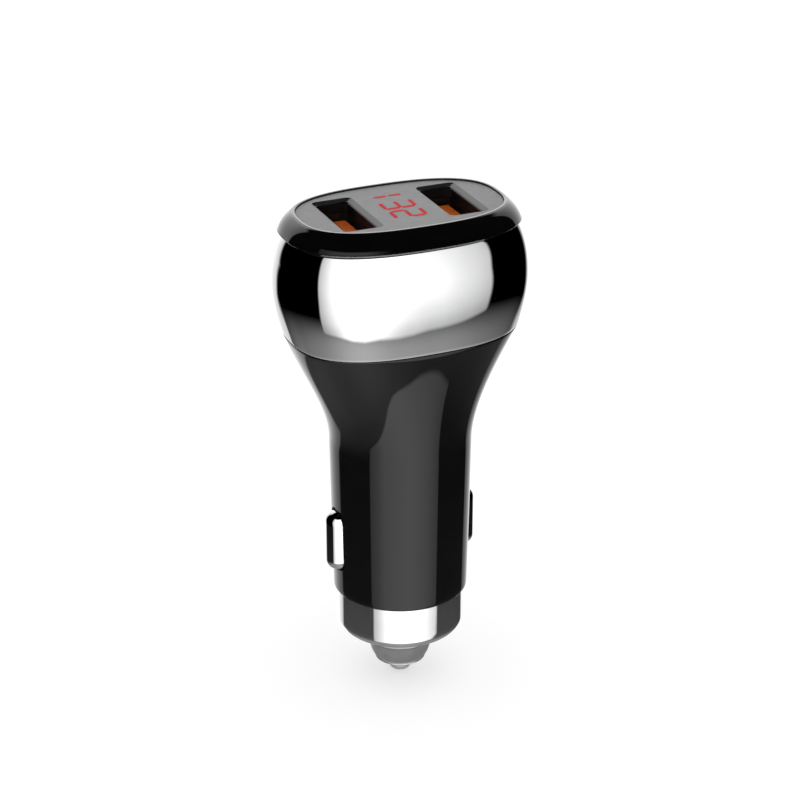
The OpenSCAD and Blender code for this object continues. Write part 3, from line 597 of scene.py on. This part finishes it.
def make_cap():
    """The cap: skirt, undercut, sharp edge, slope, lip, and the floor with its openings."""
    lip_z, skirt_low = CAP_HIGH.z, CAP_LOW.z
    floor_top = PANEL_LOW.z
    floor_low = floor_top - 1.2
    edge_r, lip_r, slope_steps = 0.1, 0.08, 28
    undercut_in, skirt_t, ledge_in, floor_in = 0.4, 0.7, 1.7, 1.2
    port_play, port_r, window_play, window_r, past = 0.6, 0.55, 0.2, 0.1, 1
    rings = [
        oval_ring(SKIRT_HALF, CAP_CORNER, skirt_low),
        oval_ring(SKIRT_HALF, CAP_CORNER, BAND_TOP),
        oval_ring(CAP_HALF, CAP_CORNER, BAND_TOP, -undercut_in),
    ]
    # The sharp edge turns from the undercut, which rises at 45 degrees, to the slope.
    for c, s in arc(6, -45, 40):
        z = CAP_EDGE_Z + edge_r * (s + 0.1)
        rings.append(oval_ring(CAP_HALF, CAP_CORNER, z, edge_r * (c - 1)))
    for k in range(1, slope_steps - 1):
        half, corner, z = cap_slope(k / slope_steps)
        rings.append(oval_ring(half, corner, z))
    for c, s in arc(5, 20, 90):
        rings.append(oval_ring(LIP_HALF, SEAM_CORNER, lip_z - lip_r * (1 - s), lip_r * (c - 1)))
    inner = (LIP_HALF[0] - LIP_W, LIP_HALF[1] - LIP_W)
    for c, s in arc(5, 90, 180):
        rings.append(oval_ring(inner, SEAM_CORNER, lip_z - lip_r * (1 - s), lip_r * (c + 1)))
    rings += [
        oval_ring(inner, SEAM_CORNER, floor_top),
        oval_ring(SKIRT_HALF, CAP_CORNER, floor_top, -ledge_in),
        oval_ring(SKIRT_HALF, CAP_CORNER, floor_low, -ledge_in),
        oval_ring(SKIRT_HALF, CAP_CORNER, floor_low, -skirt_t),
        oval_ring(SKIRT_HALF, CAP_CORNER, skirt_low, -skirt_t),
    ]
    piece = ring_piece("cap_shell", rings)
    outline = [(x, y) for x, y, _ in oval_ring(SKIRT_HALF, CAP_CORNER, 0, -floor_in)]
    floor = prism("floor", outline, floor_low, floor_top)
    port = PORT_HIGH - PORT_LOW
    port_x = (PORT_HIGH.x + PORT_LOW.x) / 2
    for x in (-port_x, port_x):
        outline = round_rect(port.x - port_play, port.y - port_play, port_r, (x, 0))
        combine(floor, prism("hole", outline, floor_low - past, floor_top + past), "DIFFERENCE")
    display = DISPLAY_HIGH - DISPLAY_LOW
    outline = round_rect(display.x + window_play, display.y + window_play, window_r)
    combine(floor, prism("window", outline, floor_low - past, floor_top + past), "DIFFERENCE")
    combine(piece, floor, "UNION")
    smooth(piece, 38)
    settle(piece, "root", CAP, "cap_black", "bezel_cap")


make_cap()


# The body
def flare_section(t):
    """Half sizes and squareness of the body's flare, where t runs from the barrel to the seam."""
    top_r = RIM_R + BARREL_H * DRAFT
    half = (
        ease(t, top_r, SEAM_HALF[0], DRAFT * FLARE_H, END_LEAN * FLARE_H),
        ease(t, top_r, SEAM_HALF[1], DRAFT * FLARE_H, SIDE_LEAN * FLARE_H),
    )
    return half, 2 + (SEAM_CORNER - 2) * t ** 4


def body_ring(z, more=0.0):
    """A ring of the body at a level."""
    if z <= BARREL_H:
        return round_ring(RIM_R + z * DRAFT + more, z)
    half, corner = flare_section((z - BARREL_H) / FLARE_H)
    return oval_ring(half, corner, z, more)


def contact_slot(side):
    """A cutter for a slot, which flares out where it leaves the barrel."""
    rings = []
    for x, more in SLOT_SHAPE:
        outline = round_rect(
            CONTACT_W + 2 * more, CONTACT_LEN + 2 * more, CONTACT_CORNER + more, (0, CONTACT_MID)
        )
        rings.append([(side * x, y, z) for y, z in outline])
    return ring_piece("slot", rings, looped=False)


def make_body():
    """The body: rim, barrel, flare, the spigot in the band, and the inner wall with both slots."""
    rim_r, top_r, barrel_levels, flare_levels, inner_levels = 0.3, 0.2, 24, 40, 10
    spigot_out, spigot_in, spigot_foot, flare_wall = -1.65, -2.85, 1.8, 2
    rings = [round_ring(BORE_R, 0), round_ring((BORE_R + RIM_R) / 2, 0)]
    rings += [body_ring(rim_r * (1 - c), rim_r * (s - 1)) for c, s in arc(6)]
    rings += [body_ring(BARREL_H * k / barrel_levels) for k in range(1, barrel_levels)]
    for k in range(flare_levels):
        rings.append(body_ring(BARREL_H + (FLARE_H - top_r) * k / flare_levels))
    rings += [body_ring(SEAM_Z - top_r * (1 - s), top_r * (c - 1)) for c, s in arc(5)]
    rings += [
        body_ring(SEAM_Z, spigot_out),
        oval_ring(SEAM_HALF, SEAM_CORNER, BODY_HIGH.z, spigot_out),
        oval_ring(SEAM_HALF, SEAM_CORNER, BODY_HIGH.z, spigot_in),
        body_ring(SEAM_Z - spigot_foot, spigot_in),
    ]
    # Over the flare's lower half the wall goes from the barrel's thickness to the flare's.
    barrel_wall = RIM_R + BARREL_H * DRAFT - BORE_R
    for k in range(inner_levels - 1, -1, -1):
        t = k / inner_levels
        half, corner = flare_section(t)
        wall = barrel_wall + (flare_wall - barrel_wall) * min(1, 2 * t)
        rings.append(oval_ring(half, corner, BARREL_H + FLARE_H * t, -wall))
    piece = ring_piece("body_shell", rings)
    for side in (-1, 1):
        combine(piece, contact_slot(side), "DIFFERENCE")
    smooth(piece, 38)
    settle(piece, "root", BODY, "body_black", "main_housing")


make_body()


# The side contacts
def make_contact(side):
    """A contact with a half-round crown whose ends are rounded, a flange and a spring pocket."""
    half_len, crown_r, end_h, end_x = CONTACT_LEN / 2, CONTACT_W / 2, 1.6, 2.0
    flange_t, pocket_r, pocket_roof, past = 0.6, 1.6, 1.8, 1
    crown_x, flange_x = SIDE_HIGH.x, SIDE_LOW.x
    base_x = crown_x - crown_r
    half_way = (flange_x + base_x) / 2
    levels = [half_len - CONTACT_CORNER * (1 - s) for c, s in arc(14)]
    levels = [-z for z in reversed(levels)] + levels
    rings = []
    for z in levels:
        over = max(0.0, abs(z) - half_len + CONTACT_CORNER)
        w = crown_r - CONTACT_CORNER + math.sqrt(max(0.0, CONTACT_CORNER ** 2 - over ** 2))
        over = max(0.0, abs(z) - half_len + end_h) / end_h
        reach = crown_r - end_x * (1 - math.sqrt(max(0.0, 1 - over ** 2)))
        section = [(flange_x, -w), (half_way, -w)]
        section += [(base_x + reach * c, w * s) for c, s in arc(36, -90, 90)]
        section += [(half_way, w), (flange_x, w)]
        rings.append([(side * x, y, CONTACT_MID + z) for x, y in section])
    name = "right" if side > 0 else "left"
    piece = ring_piece(name + "_contact_shoe", rings, looped=False)
    size = SIDE_HIGH - SIDE_LOW
    outline = round_rect(size.y, size.z, CONTACT_CORNER, (0, CONTACT_MID))
    low, high = sorted((side * flange_x, side * (flange_x + flange_t)))
    combine(piece, prism("flange", outline, low, high, "X"), "UNION")
    circle = [(pocket_r * c, CONTACT_MID + pocket_r * s) for c, s in arc(48, 0, 360)[:-1]]
    low, high = sorted((side * (flange_x - past), side * (crown_x - pocket_roof)))
    combine(piece, prism("pocket", circle, low, high, "X"), "DIFFERENCE")
    smooth(piece, 40)
    settle(piece, name + "_contact", SIDE_CHROME, "contact_chrome", name + "_side_contact")


make_contact(-1)
make_contact(1)


# Collar, nose and tip
def flank_r(z):
    """Radius of the nose's rounded side at a level."""
    return NOSE_R - NOSE_FLANK_R + math.sqrt(NOSE_FLANK_R ** 2 - (NOSE_STRAIGHT_Z - z) ** 2)


def make_collar():
    """The collar: a large rounding below, a straight side, and the cavity for the nose's flange."""
    low, edge_r, out_r = COLLAR_LOW.z + 0.14, 1.35, COLLAR_HIGH.x
    bore, cavity_wall, side_levels = NOSE_R + 0.08, 0.8, 8
    side_low = low + edge_r
    profile = [(bore, low), ((bore + out_r) / 2, low)]
    profile += [(out_r - edge_r * (1 - c), low + edge_r * (1 + s)) for c, s in arc(16, -90, 0)]
    profile += [(out_r, side_low - side_low * k / side_levels) for k in range(1, side_levels + 1)]
    profile += [
        (CAVITY_R + cavity_wall, 0), (CAVITY_R + cavity_wall, COLLAR_HIGH.z),
        (CAVITY_R, COLLAR_HIGH.z), (CAVITY_R, FLANGE_Z), (bore, FLANGE_Z),
    ]
    piece = revolved("collar_shell", profile)
    smooth(piece, 40)
    settle(piece, "root", COLLAR, "collar_chrome", "collar_ring")


def make_nose():
    """The nose with its flange and a groove, and the bead that lies in the groove."""
    stem_play, skin, groove_r, levels = 0.08, 0.03, 4.78, 20
    bead_r, bead_wire_r, bead_z = 4.8, 0.21, NOSE_STRAIGHT_Z - 0.13
    profile = [
        (STEM_R + stem_play, NOSE_END_Z), (DISC_R - 0.2, NOSE_END_Z), (DISC_R + 0.08, NOSE_END_Z),
    ]
    for k in range(levels + 1):
        z = NOSE_EDGE_Z + (NOSE_STRAIGHT_Z - 0.4 - NOSE_EDGE_Z) * k / levels
        profile.append((flank_r(z) - skin, z))
    profile += [
        (groove_r, NOSE_STRAIGHT_Z - 0.36), (groove_r, NOSE_STRAIGHT_Z + 0.1),
        (NOSE_R, NOSE_STRAIGHT_Z + 0.3), (NOSE_R, FLANGE_Z), (NOSE_HIGH.x, FLANGE_Z),
        (NOSE_HIGH.x, NOSE_HIGH.z), (STEM_R + stem_play, NOSE_HIGH.z),
    ]
    piece = revolved("nose_shell", profile)
    smooth(piece, 35)
    settle(piece, "tip", NOSE, "nose_satin", "tip_nose")
    ring = bead("nose_ring", bead_r, bead_z, bead_wire_r)
    smooth(ring, 60)
    settle(ring, "tip", RING, "contact_nickel")


def make_tip():
    """The contact at the tip, from its rounded nib to the head on its stem, and its bright rim."""
    round_r, rim_r, gap = 0.75, 0.1, 0.02
    nib_r = TIP_R - round_r
    disc_top = NOSE_END_Z - gap
    profile = [(nib_r + round_r * c, TIP_LOW + round_r * (1 + s)) for c, s in arc(10, -90, 0)]
    profile += [
        (TIP_R, DISC_LOW - 0.7), (TIP_R + 0.3, DISC_LOW - 0.4), (DISC_R - 0.25, DISC_LOW),
        (DISC_R - rim_r, DISC_LOW + 0.1), (DISC_R - rim_r, disc_top), (STEM_R, disc_top),
        (STEM_R, NOSE_HIGH.z), (NIB_HIGH.x, NOSE_HIGH.z), (NIB_HIGH.x, NIB_HIGH.z),
    ]
    piece = ring_piece("tip_pin", [round_ring(r, z) for r, z in profile], looped=False)
    smooth(piece, 35)
    settle(piece, "tip", PIN, "contact_nickel", "tip_contact")
    rim = bead("tip_rim", DISC_R - rim_r, DISC_LOW + 0.12, rim_r)
    smooth(rim, 60)
    settle(rim, "tip", NIB, "contact_nickel")


make_collar()
make_nose()
make_tip()


# The springs
def make_spring(name, node, wire, coil_d, turns, axis, at):
    """A coil as long as its CAD spring along the axis.

    at turns a point on the coil's own axes, in millimetres, to the part's.
    """
    low, high = (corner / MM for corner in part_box(node))
    length = abs(axis.dot(high - low))
    steps, sides, end_close = turns * 28, 12, 1 / 12
    rings = []
    for k in range(steps + 1):
        t = k / steps
        turn = math.tau * turns * t
        level = wire / 2 + (length - wire) * (t - math.sin(math.tau * t) * end_close)
        ring = []
        for c, s in arc(sides, 0, 360)[:-1]:
            r = coil_d / 2 + wire / 2 * c
            ring.append(at(r * math.cos(turn), r * math.sin(turn), level + wire / 2 * s))
        rings.append(ring)
    piece = ring_piece(name, rings, looped=False)
    smooth(piece, 60)
    settle(piece, "root", STEEL, "spring_steel", node)
    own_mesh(piece)


def make_springs():
    """The tip's spring and both side springs, with the CAD springs' wire, diameter and turns."""
    low, high = (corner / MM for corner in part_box("tip_spring"))
    make_spring(
        "tip_coil", "tip_spring", wire=0.6, coil_d=8.4, turns=5,
        axis=Vector((0, 0, 1)), at=lambda u, v, w: (u, v, low.z + w),
    )
    side_low, side_high = (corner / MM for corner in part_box("right_contact_spring"))
    mid = (side_low.z + side_high.z) / 2
    for side, name in ((-1, "left"), (1, "right")):
        make_spring(
            name + "_contact_coil", name + "_contact_spring",
            wire=0.36, coil_d=2.4, turns=7,
            axis=Vector((1, 0, 0)),
            at=lambda u, v, w, side=side: (side * (side_low.x + w), v, mid - u),
        )


make_springs()


# The bars spread a little over their openings' edges, as the glow under the panel does.
bars = NODES["lit_segments"]
weld = bars.modifiers.new("weld", "WELD")
weld.merge_threshold = 0.001 * MM
spread = bars.modifiers.new("spread", "DISPLACE")
spread.mid_level = 0.0
spread.strength = 0.06 * MM

panel_mesh = NODES["face_panel"].data
panel_mesh.shade_smooth()
panel_mesh.set_sharp_from_angle(angle=math.radians(30))

# Camera, whose picture is 800 pixels wide with a focal length of 2399 pixels
PICTURE_W = 800.0
FOCAL_PIXELS = 2399.0
SENSOR_W = 36.0
CAMERA_PLACE = Vector((-130.229, -300.847, 182.640))
CAMERA_BACK = Vector((-0.3604479, -0.8326825, 0.4203775))
camera_data = bpy.data.cameras.new("camera")
camera_data.sensor_width = SENSOR_W
camera_data.lens = FOCAL_PIXELS / PICTURE_W * SENSOR_W
camera_data.clip_start = 0.01
camera = bpy.data.objects.new("camera", camera_data)
camera.location = CAMERA_PLACE * MM
camera.rotation_euler = CAMERA_BACK.to_track_quat("Z", "Y").to_euler()
bpy.context.scene.collection.objects.link(camera)
bpy.context.scene.camera = camera

# Floor: a wide disc just under the tip, with a little light of its own for the camera only
FLOOR_R = 2000
FLOOR_T = 5
FLOOR_GREY = 0.62
FLOOR_LIFT = 0.46
floor_top = NIB_LOW.z - 0.02
floor_outline = [(FLOOR_R * c, FLOOR_R * s) for c, s in arc(64, 0, 360)[:-1]]
floor = prism("floor_plane", floor_outline, floor_top - FLOOR_T, floor_top)
floor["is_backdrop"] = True
floor.visible_glossy = False
floor_paper = bpy.data.materials.new("floor_paper")
floor_paper.use_nodes = True
graph = Graph(floor_paper.node_tree)
paper = graph.node("ShaderNodeBsdfDiffuse", {"Color": grey(FLOOR_GREY)})
lift = graph.node("ShaderNodeEmission", {"Color": grey(1.0)})
seen = graph.node("ShaderNodeLightPath").outputs["Is Camera Ray"]
graph.put(lift.inputs["Strength"], graph.times(seen, FLOOR_LIFT))
both = graph.node("ShaderNodeAddShader", {0: paper.outputs[0], 1: lift.outputs[0]})
graph.node("ShaderNodeOutputMaterial", {"Surface": both.outputs[0]})
dress(floor, floor_paper)

# Light
# Brightness of the world for the rays that light matt surfaces
LEVEL = 1.0
# Level directions from the part to the camera and to the picture's right side
TOWARD = (-0.3973, -0.9177, 0.0)
RIGHT = (0.9177, -0.3973, 0.0)
# Azimuths in degrees that the tables of the softbox and of the wall behind are read over
FRONT_SPAN = (-60, 80)
WALL_SPAN = (110, 180)
# Degrees that one unit of a curve stands for in a softbox's lower edge
EDGE_UNIT = 25
# Brightness of the studio's ground against the elevation in degrees
GROUND = (
    (-90, 0.4), (-58, 0.36), (-52, 0.29), (-48, 0.22), (-44, 0.185), (-42, 0.165), (-40, 0.14),
    (-38, 0.115), (-36, 0.09), (-34, 0.065), (-32, 0.046), (-30, 0.026), (-28, 0.01), (-26, 0.0),
    (0, 0.0),
)


class Studio:
    """Brightness of the studio that one family of surfaces mirrors, by direction.

    phi is the azimuth from the camera's side towards the right, and theta the elevation, both in
    degrees. The methods give back sockets.
    """

    def __init__(self, graph):
        self.graph = graph
        way = graph.node("ShaderNodeVectorMath", {0: graph.place()}, operation="NORMALIZE")

        def along(axis):
            inputs = {0: way.outputs[0], 1: axis}
            part = graph.node("ShaderNodeVectorMath", inputs, operation="DOT_PRODUCT")
            return part.outputs["Value"]

        degree = 180 / math.pi
        self.phi = graph.times(graph.math("ARCTAN2", along(RIGHT), along(TOWARD)), degree)
        self.theta = graph.times(graph.math("ARCSINE", along((0.0, 0.0, 1.0))), degree)
        self.turn = graph.math("ABSOLUTE", self.phi)

    def edge(self, value, at, soft, rising=True):
        """A soft step at a number or a socket."""
        g = self.graph
        ends = (0, 1) if rising else (1, 0)
        return g.ramp(value, g.add(at, -soft), g.add(at, soft), *ends)

    def front(self, profile, lower, left, right, soft, high=38):
        """The softbox in front, whose lower edge follows a curve of the azimuth.

        It gives back the softbox and the height above its lower edge.
        """
        g = self.graph
        # A curve holds nothing below 0, so the edge is lifted by two units and lowered again.
        lifted = [(at, 2 + low / EDGE_UNIT) for at, low in lower]
        low = g.add(g.times(g.curve(self.phi, *FRONT_SPAN, lifted), EDGE_UNIT), -2 * EDGE_UNIT)
        above = g.math("SUBTRACT", self.theta, low)
        panel = g.times(
            g.curve(self.phi, *FRONT_SPAN, profile),
            self.edge(self.phi, left, soft),
            self.edge(self.phi, right, soft, False),
            g.ramp(above, -soft, soft),
            self.edge(self.theta, high, 2, False),
        )
        return panel, above

    def ground(self, right=1.0, left=1.0, glow=0.25):
        """The ground, with the pool of light under the softbox."""
        g = self.graph
        away = g.add(self.phi, -10)
        bell = g.math("EXPONENT", g.times(away, away, -1 / 1900))
        pool = g.times(bell, g.ramp(self.theta, -44, -30, glow, 0.0))
        return g.times(
            g.add(g.curve(self.theta, -90, 0, GROUND), pool),
            g.ramp(self.phi, 30, 60, 1.0, right),
            g.ramp(self.phi, -145, -100, left, 1.0),
        )

    def back(self, profile, left, left_soft, right, right_soft, dim):
        """The bright wall behind, between its edges on the left and the right."""
        g = self.graph
        on_left = self.edge(self.phi, left, left_soft, False)
        # Straight behind, the right half ends as bright as the left one.
        dim = g.add(dim, g.times(g.ramp(self.phi, 168, 180), g.add(1.0, g.times(dim, -1.0))))
        on_right = g.times(self.edge(self.phi, right, right_soft), dim)
        return g.times(
            g.math("MAXIMUM", on_left, on_right),
            g.curve(self.turn, *WALL_SPAN, profile),
            g.ramp(self.theta, -44, -40),
            g.ramp(self.theta, 40, 48, 1, 0),
        )


# Brightness of the band's softbox against the height above its lower edge in degrees
BAND_FALL = ((0, 0.48), (2, 0.54), (6, 0.66), (10, 0.76), (20, 0.87), (30, 0.95), (40, 1.0))
# The softbox's brightness (FRONT) and the elevation of its lower edge (LOW) against the azimuth,
# and the wall's brightness (WALL) against the size of the azimuth, with all angles in degrees
PLASTIC_FRONT = (
    (-51, 0.5), (-45, 0.65), (-35, 0.9), (-25, 1.27), (-15, 1.38), (-5, 1.47), (5, 1.54), (15, 1.57),
    (25, 1.5), (35, 1.33), (45, 1.17), (55, 0.9), (62, 0.68), (68, 0.6),
)
PLASTIC_LOW = (
    (-51, -37.8), (-46, -39.1), (-36, -40.6), (-25, -41.9), (-18, -42.9), (-11, -43.7),
    (-4, -44.6), (3, -45.5), (10, -45.8), (17, -45.5), (24, -44.1), (31, -42.1), (38, -40.3),
    (45, -38.8), (52, -37.5), (60, -36.9), (68, -36.7),
)
PLASTIC_WALL = (
    (110, 0.6), (119, 0.66), (124, 0.74), (130, 0.86), (136, 1.05), (142, 1.17), (150, 1.35),
    (160, 1.65), (180, 1.8),
)
METAL_FRONT = (
    (-51, 0.5), (-45, 0.64), (-35, 0.92), (-25, 1.25), (-15, 1.4), (-5, 1.48), (5, 1.55), (15, 1.6),
    (25, 1.56), (35, 1.43), (45, 1.2), (52, 0.99), (59, 0.86), (66, 0.76), (80, 0.56),
)
METAL_LOW = (
    (-51, -36.5), (-45, -38.8), (-35, -39.5), (-25, -39.9), (-18, -40.2), (-11, -40.5),
    (-4, -40.8), (3, -40.6), (10, -40.4), (17, -39.5), (24, -38.7), (31, -38.5), (38, -38.2),
    (45, -37.3), (52, -35.5), (59, -34), (66, -32), (73, -30), (80, -28),
)
METAL_WALL = (
    (110, 0.5), (130, 0.52), (136, 0.64), (142, 0.78), (148, 0.88), (154, 0.98), (160, 1.1),
    (166, 1.2), (180, 1.25),
)


def brightest(graph, *parts):
    """At each direction the brightest of some parts of the studio."""
    total = parts[0]
    for part in parts[1:]:
        total = graph.math("MAXIMUM", total, part)
    return total


def body_studio(graph):
    """What the body mirrors: the wall is dimmer on the right."""
    room = Studio(graph)
    panel, _ = room.front(PLASTIC_FRONT, PLASTIC_LOW, -50, 65, 0.8)
    dim = graph.ramp(room.phi, 128, 166, 0.32, 0.78, "LINEAR")
    wall = room.back(PLASTIC_WALL, -116.8, 2.5, 133, 1.5, dim)
    return brightest(graph, panel, wall, room.ground())


def cap_studio(graph):
    """The cap sees little of the softbox, and a strip high behind it lights the lip."""
    room = Studio(graph)
    panel, _ = room.front(PLASTIC_FRONT, PLASTIC_LOW, -50.2, 66, 0.8, 32)
    panel = graph.times(
        panel, graph.ramp(room.theta, -5, 8, 0.08, 0.6), graph.ramp(room.phi, 10, 34, 1, 0)
    )
    wall = graph.times(room.back(PLASTIC_WALL, -119.5, 1.5, 120.5, 1.5, 0.9), 1.55)
    strip = graph.times(
        room.edge(room.turn, 163, 4),
        room.edge(room.theta, 18, 2),
        room.edge(room.theta, 33, 2, False),
        3.0,
    )
    return brightest(graph, panel, wall, strip, room.ground())


def band_studio(graph):
    """What the band mirrors: the softbox fades downwards beside its middle."""
    room = Studio(graph)
    right = graph.ramp(room.theta, 2, 24, 74.5, 79)
    panel, above = room.front(METAL_FRONT, METAL_LOW, -48.3, right, 1.8, 48)
    fall = graph.curve(above, 0, 40, BAND_FALL)
    aside = graph.ramp(graph.math("ABSOLUTE", graph.add(room.phi, -6)), 6, 36)
    panel = graph.times(panel, graph.add(1.0, graph.times(aside, graph.add(fall, -1.0))))
    left_edge = graph.ramp(room.theta, -34, -12, -149.5, -132, "LINEAR")
    right_edge = graph.ramp(room.theta, -36, -25, 124, 153, "LINEAR")
    on_left = graph.ramp(room.theta, -34, -14, 0.66, 1.12, "LINEAR")
    on_right = graph.ramp(room.theta, -33, -27, 0.9, 0.56)
    right_side = graph.times(
        graph.math("GREATER_THAN", room.phi, 0), graph.ramp(room.phi, 168, 180, 1, 0)
    )
    step = graph.add(on_right, graph.times(on_left, -1.0))
    wall = graph.times(
        room.back(METAL_WALL, left_edge, 2.5, right_edge, 9, 1.0),
        graph.add(on_left, graph.times(right_side, step)),
    )
    return brightest(graph, panel, wall, room.ground(1.4, 1.85))


def low_studio(graph):
    """What the collar, the tip, the contacts and the inner pieces mirror."""
    room = Studio(graph)
    panel, _ = room.front(METAL_FRONT, METAL_LOW, -50, 73, 1.6, 50)
    panel = graph.times(panel, graph.ramp(room.phi, 25, 45, 1.04, 1.16))
    wall = room.back(METAL_WALL, -132.5, 4, 157, 5, 0.75)
    ground = graph.times(room.ground(1.0, 1.0, 0.12), graph.ramp(room.theta, -62, -46, 0.68, 1))
    return brightest(graph, panel, wall, ground)


def make_dome(name, brightness, radius, pieces):
    """A shell of light round the scene that only some pieces mirror."""
    rings = [round_ring(radius * c, radius * s, 48) for c, s in arc(24, -89, 89)]
    dome = ring_piece(name, rings, looped=False)
    dome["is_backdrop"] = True
    dome.visible_camera = False
    dome.visible_diffuse = False
    dome.visible_shadow = False
    shine = bpy.data.materials.new(name)
    shine.use_nodes = True
    shine.cycles.emission_sampling = "NONE"
    graph = Graph(shine.node_tree)
    light = graph.node("ShaderNodeEmission", {"Color": grey(1.0), "Strength": brightness(graph)})
    clear = graph.node("ShaderNodeBsdfTransparent")
    both = graph.node("ShaderNodeAddShader", {0: light.outputs[0], 1: clear.outputs[0]})
    graph.node("ShaderNodeOutputMaterial", {"Surface": both.outputs[0]})
    dress(dome, shine)
    group = bpy.data.collections.new(name + "_pieces")
    for piece in pieces:
        group.objects.link(piece)
    dome.light_linking.receiver_collection = group


OWN_LIGHT = {"body_shell": body_studio, "cap_shell": cap_studio, "band_skin": band_studio}
OWN_DOME_RADII = (6000, 6500, 7000)
LOW_DOME_R = 8000
for radius, (name, brightness) in zip(OWN_DOME_RADII, OWN_LIGHT.items()):
    make_dome(name + "_light", brightness, radius, [bpy.data.objects[name]])
others = [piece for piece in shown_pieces() if piece.name not in OWN_LIGHT]
make_dome("low_light", low_studio, LOW_DOME_R, others)

world = bpy.data.worlds.new("studio")
bpy.context.scene.world = world
world.use_nodes = True
world.cycles.sampling_method = "NONE"
graph = Graph(world.node_tree)
rays = graph.node("ShaderNodeLightPath").outputs
mirrored = graph.math("MAXIMUM", rays["Is Glossy Ray"], rays["Is Transmission Ray"])
level = graph.mix(mirrored, grey(LEVEL), grey(0.0))
seen = graph.mix(rays["Is Camera Ray"], level, grey(1.0))
sky = graph.node("ShaderNodeBackground", {"Color": seen})
graph.node("ShaderNodeOutputWorld", {"Surface": sky.outputs[0]})

bpy.context.scene.view_settings.view_transform = "Standard"
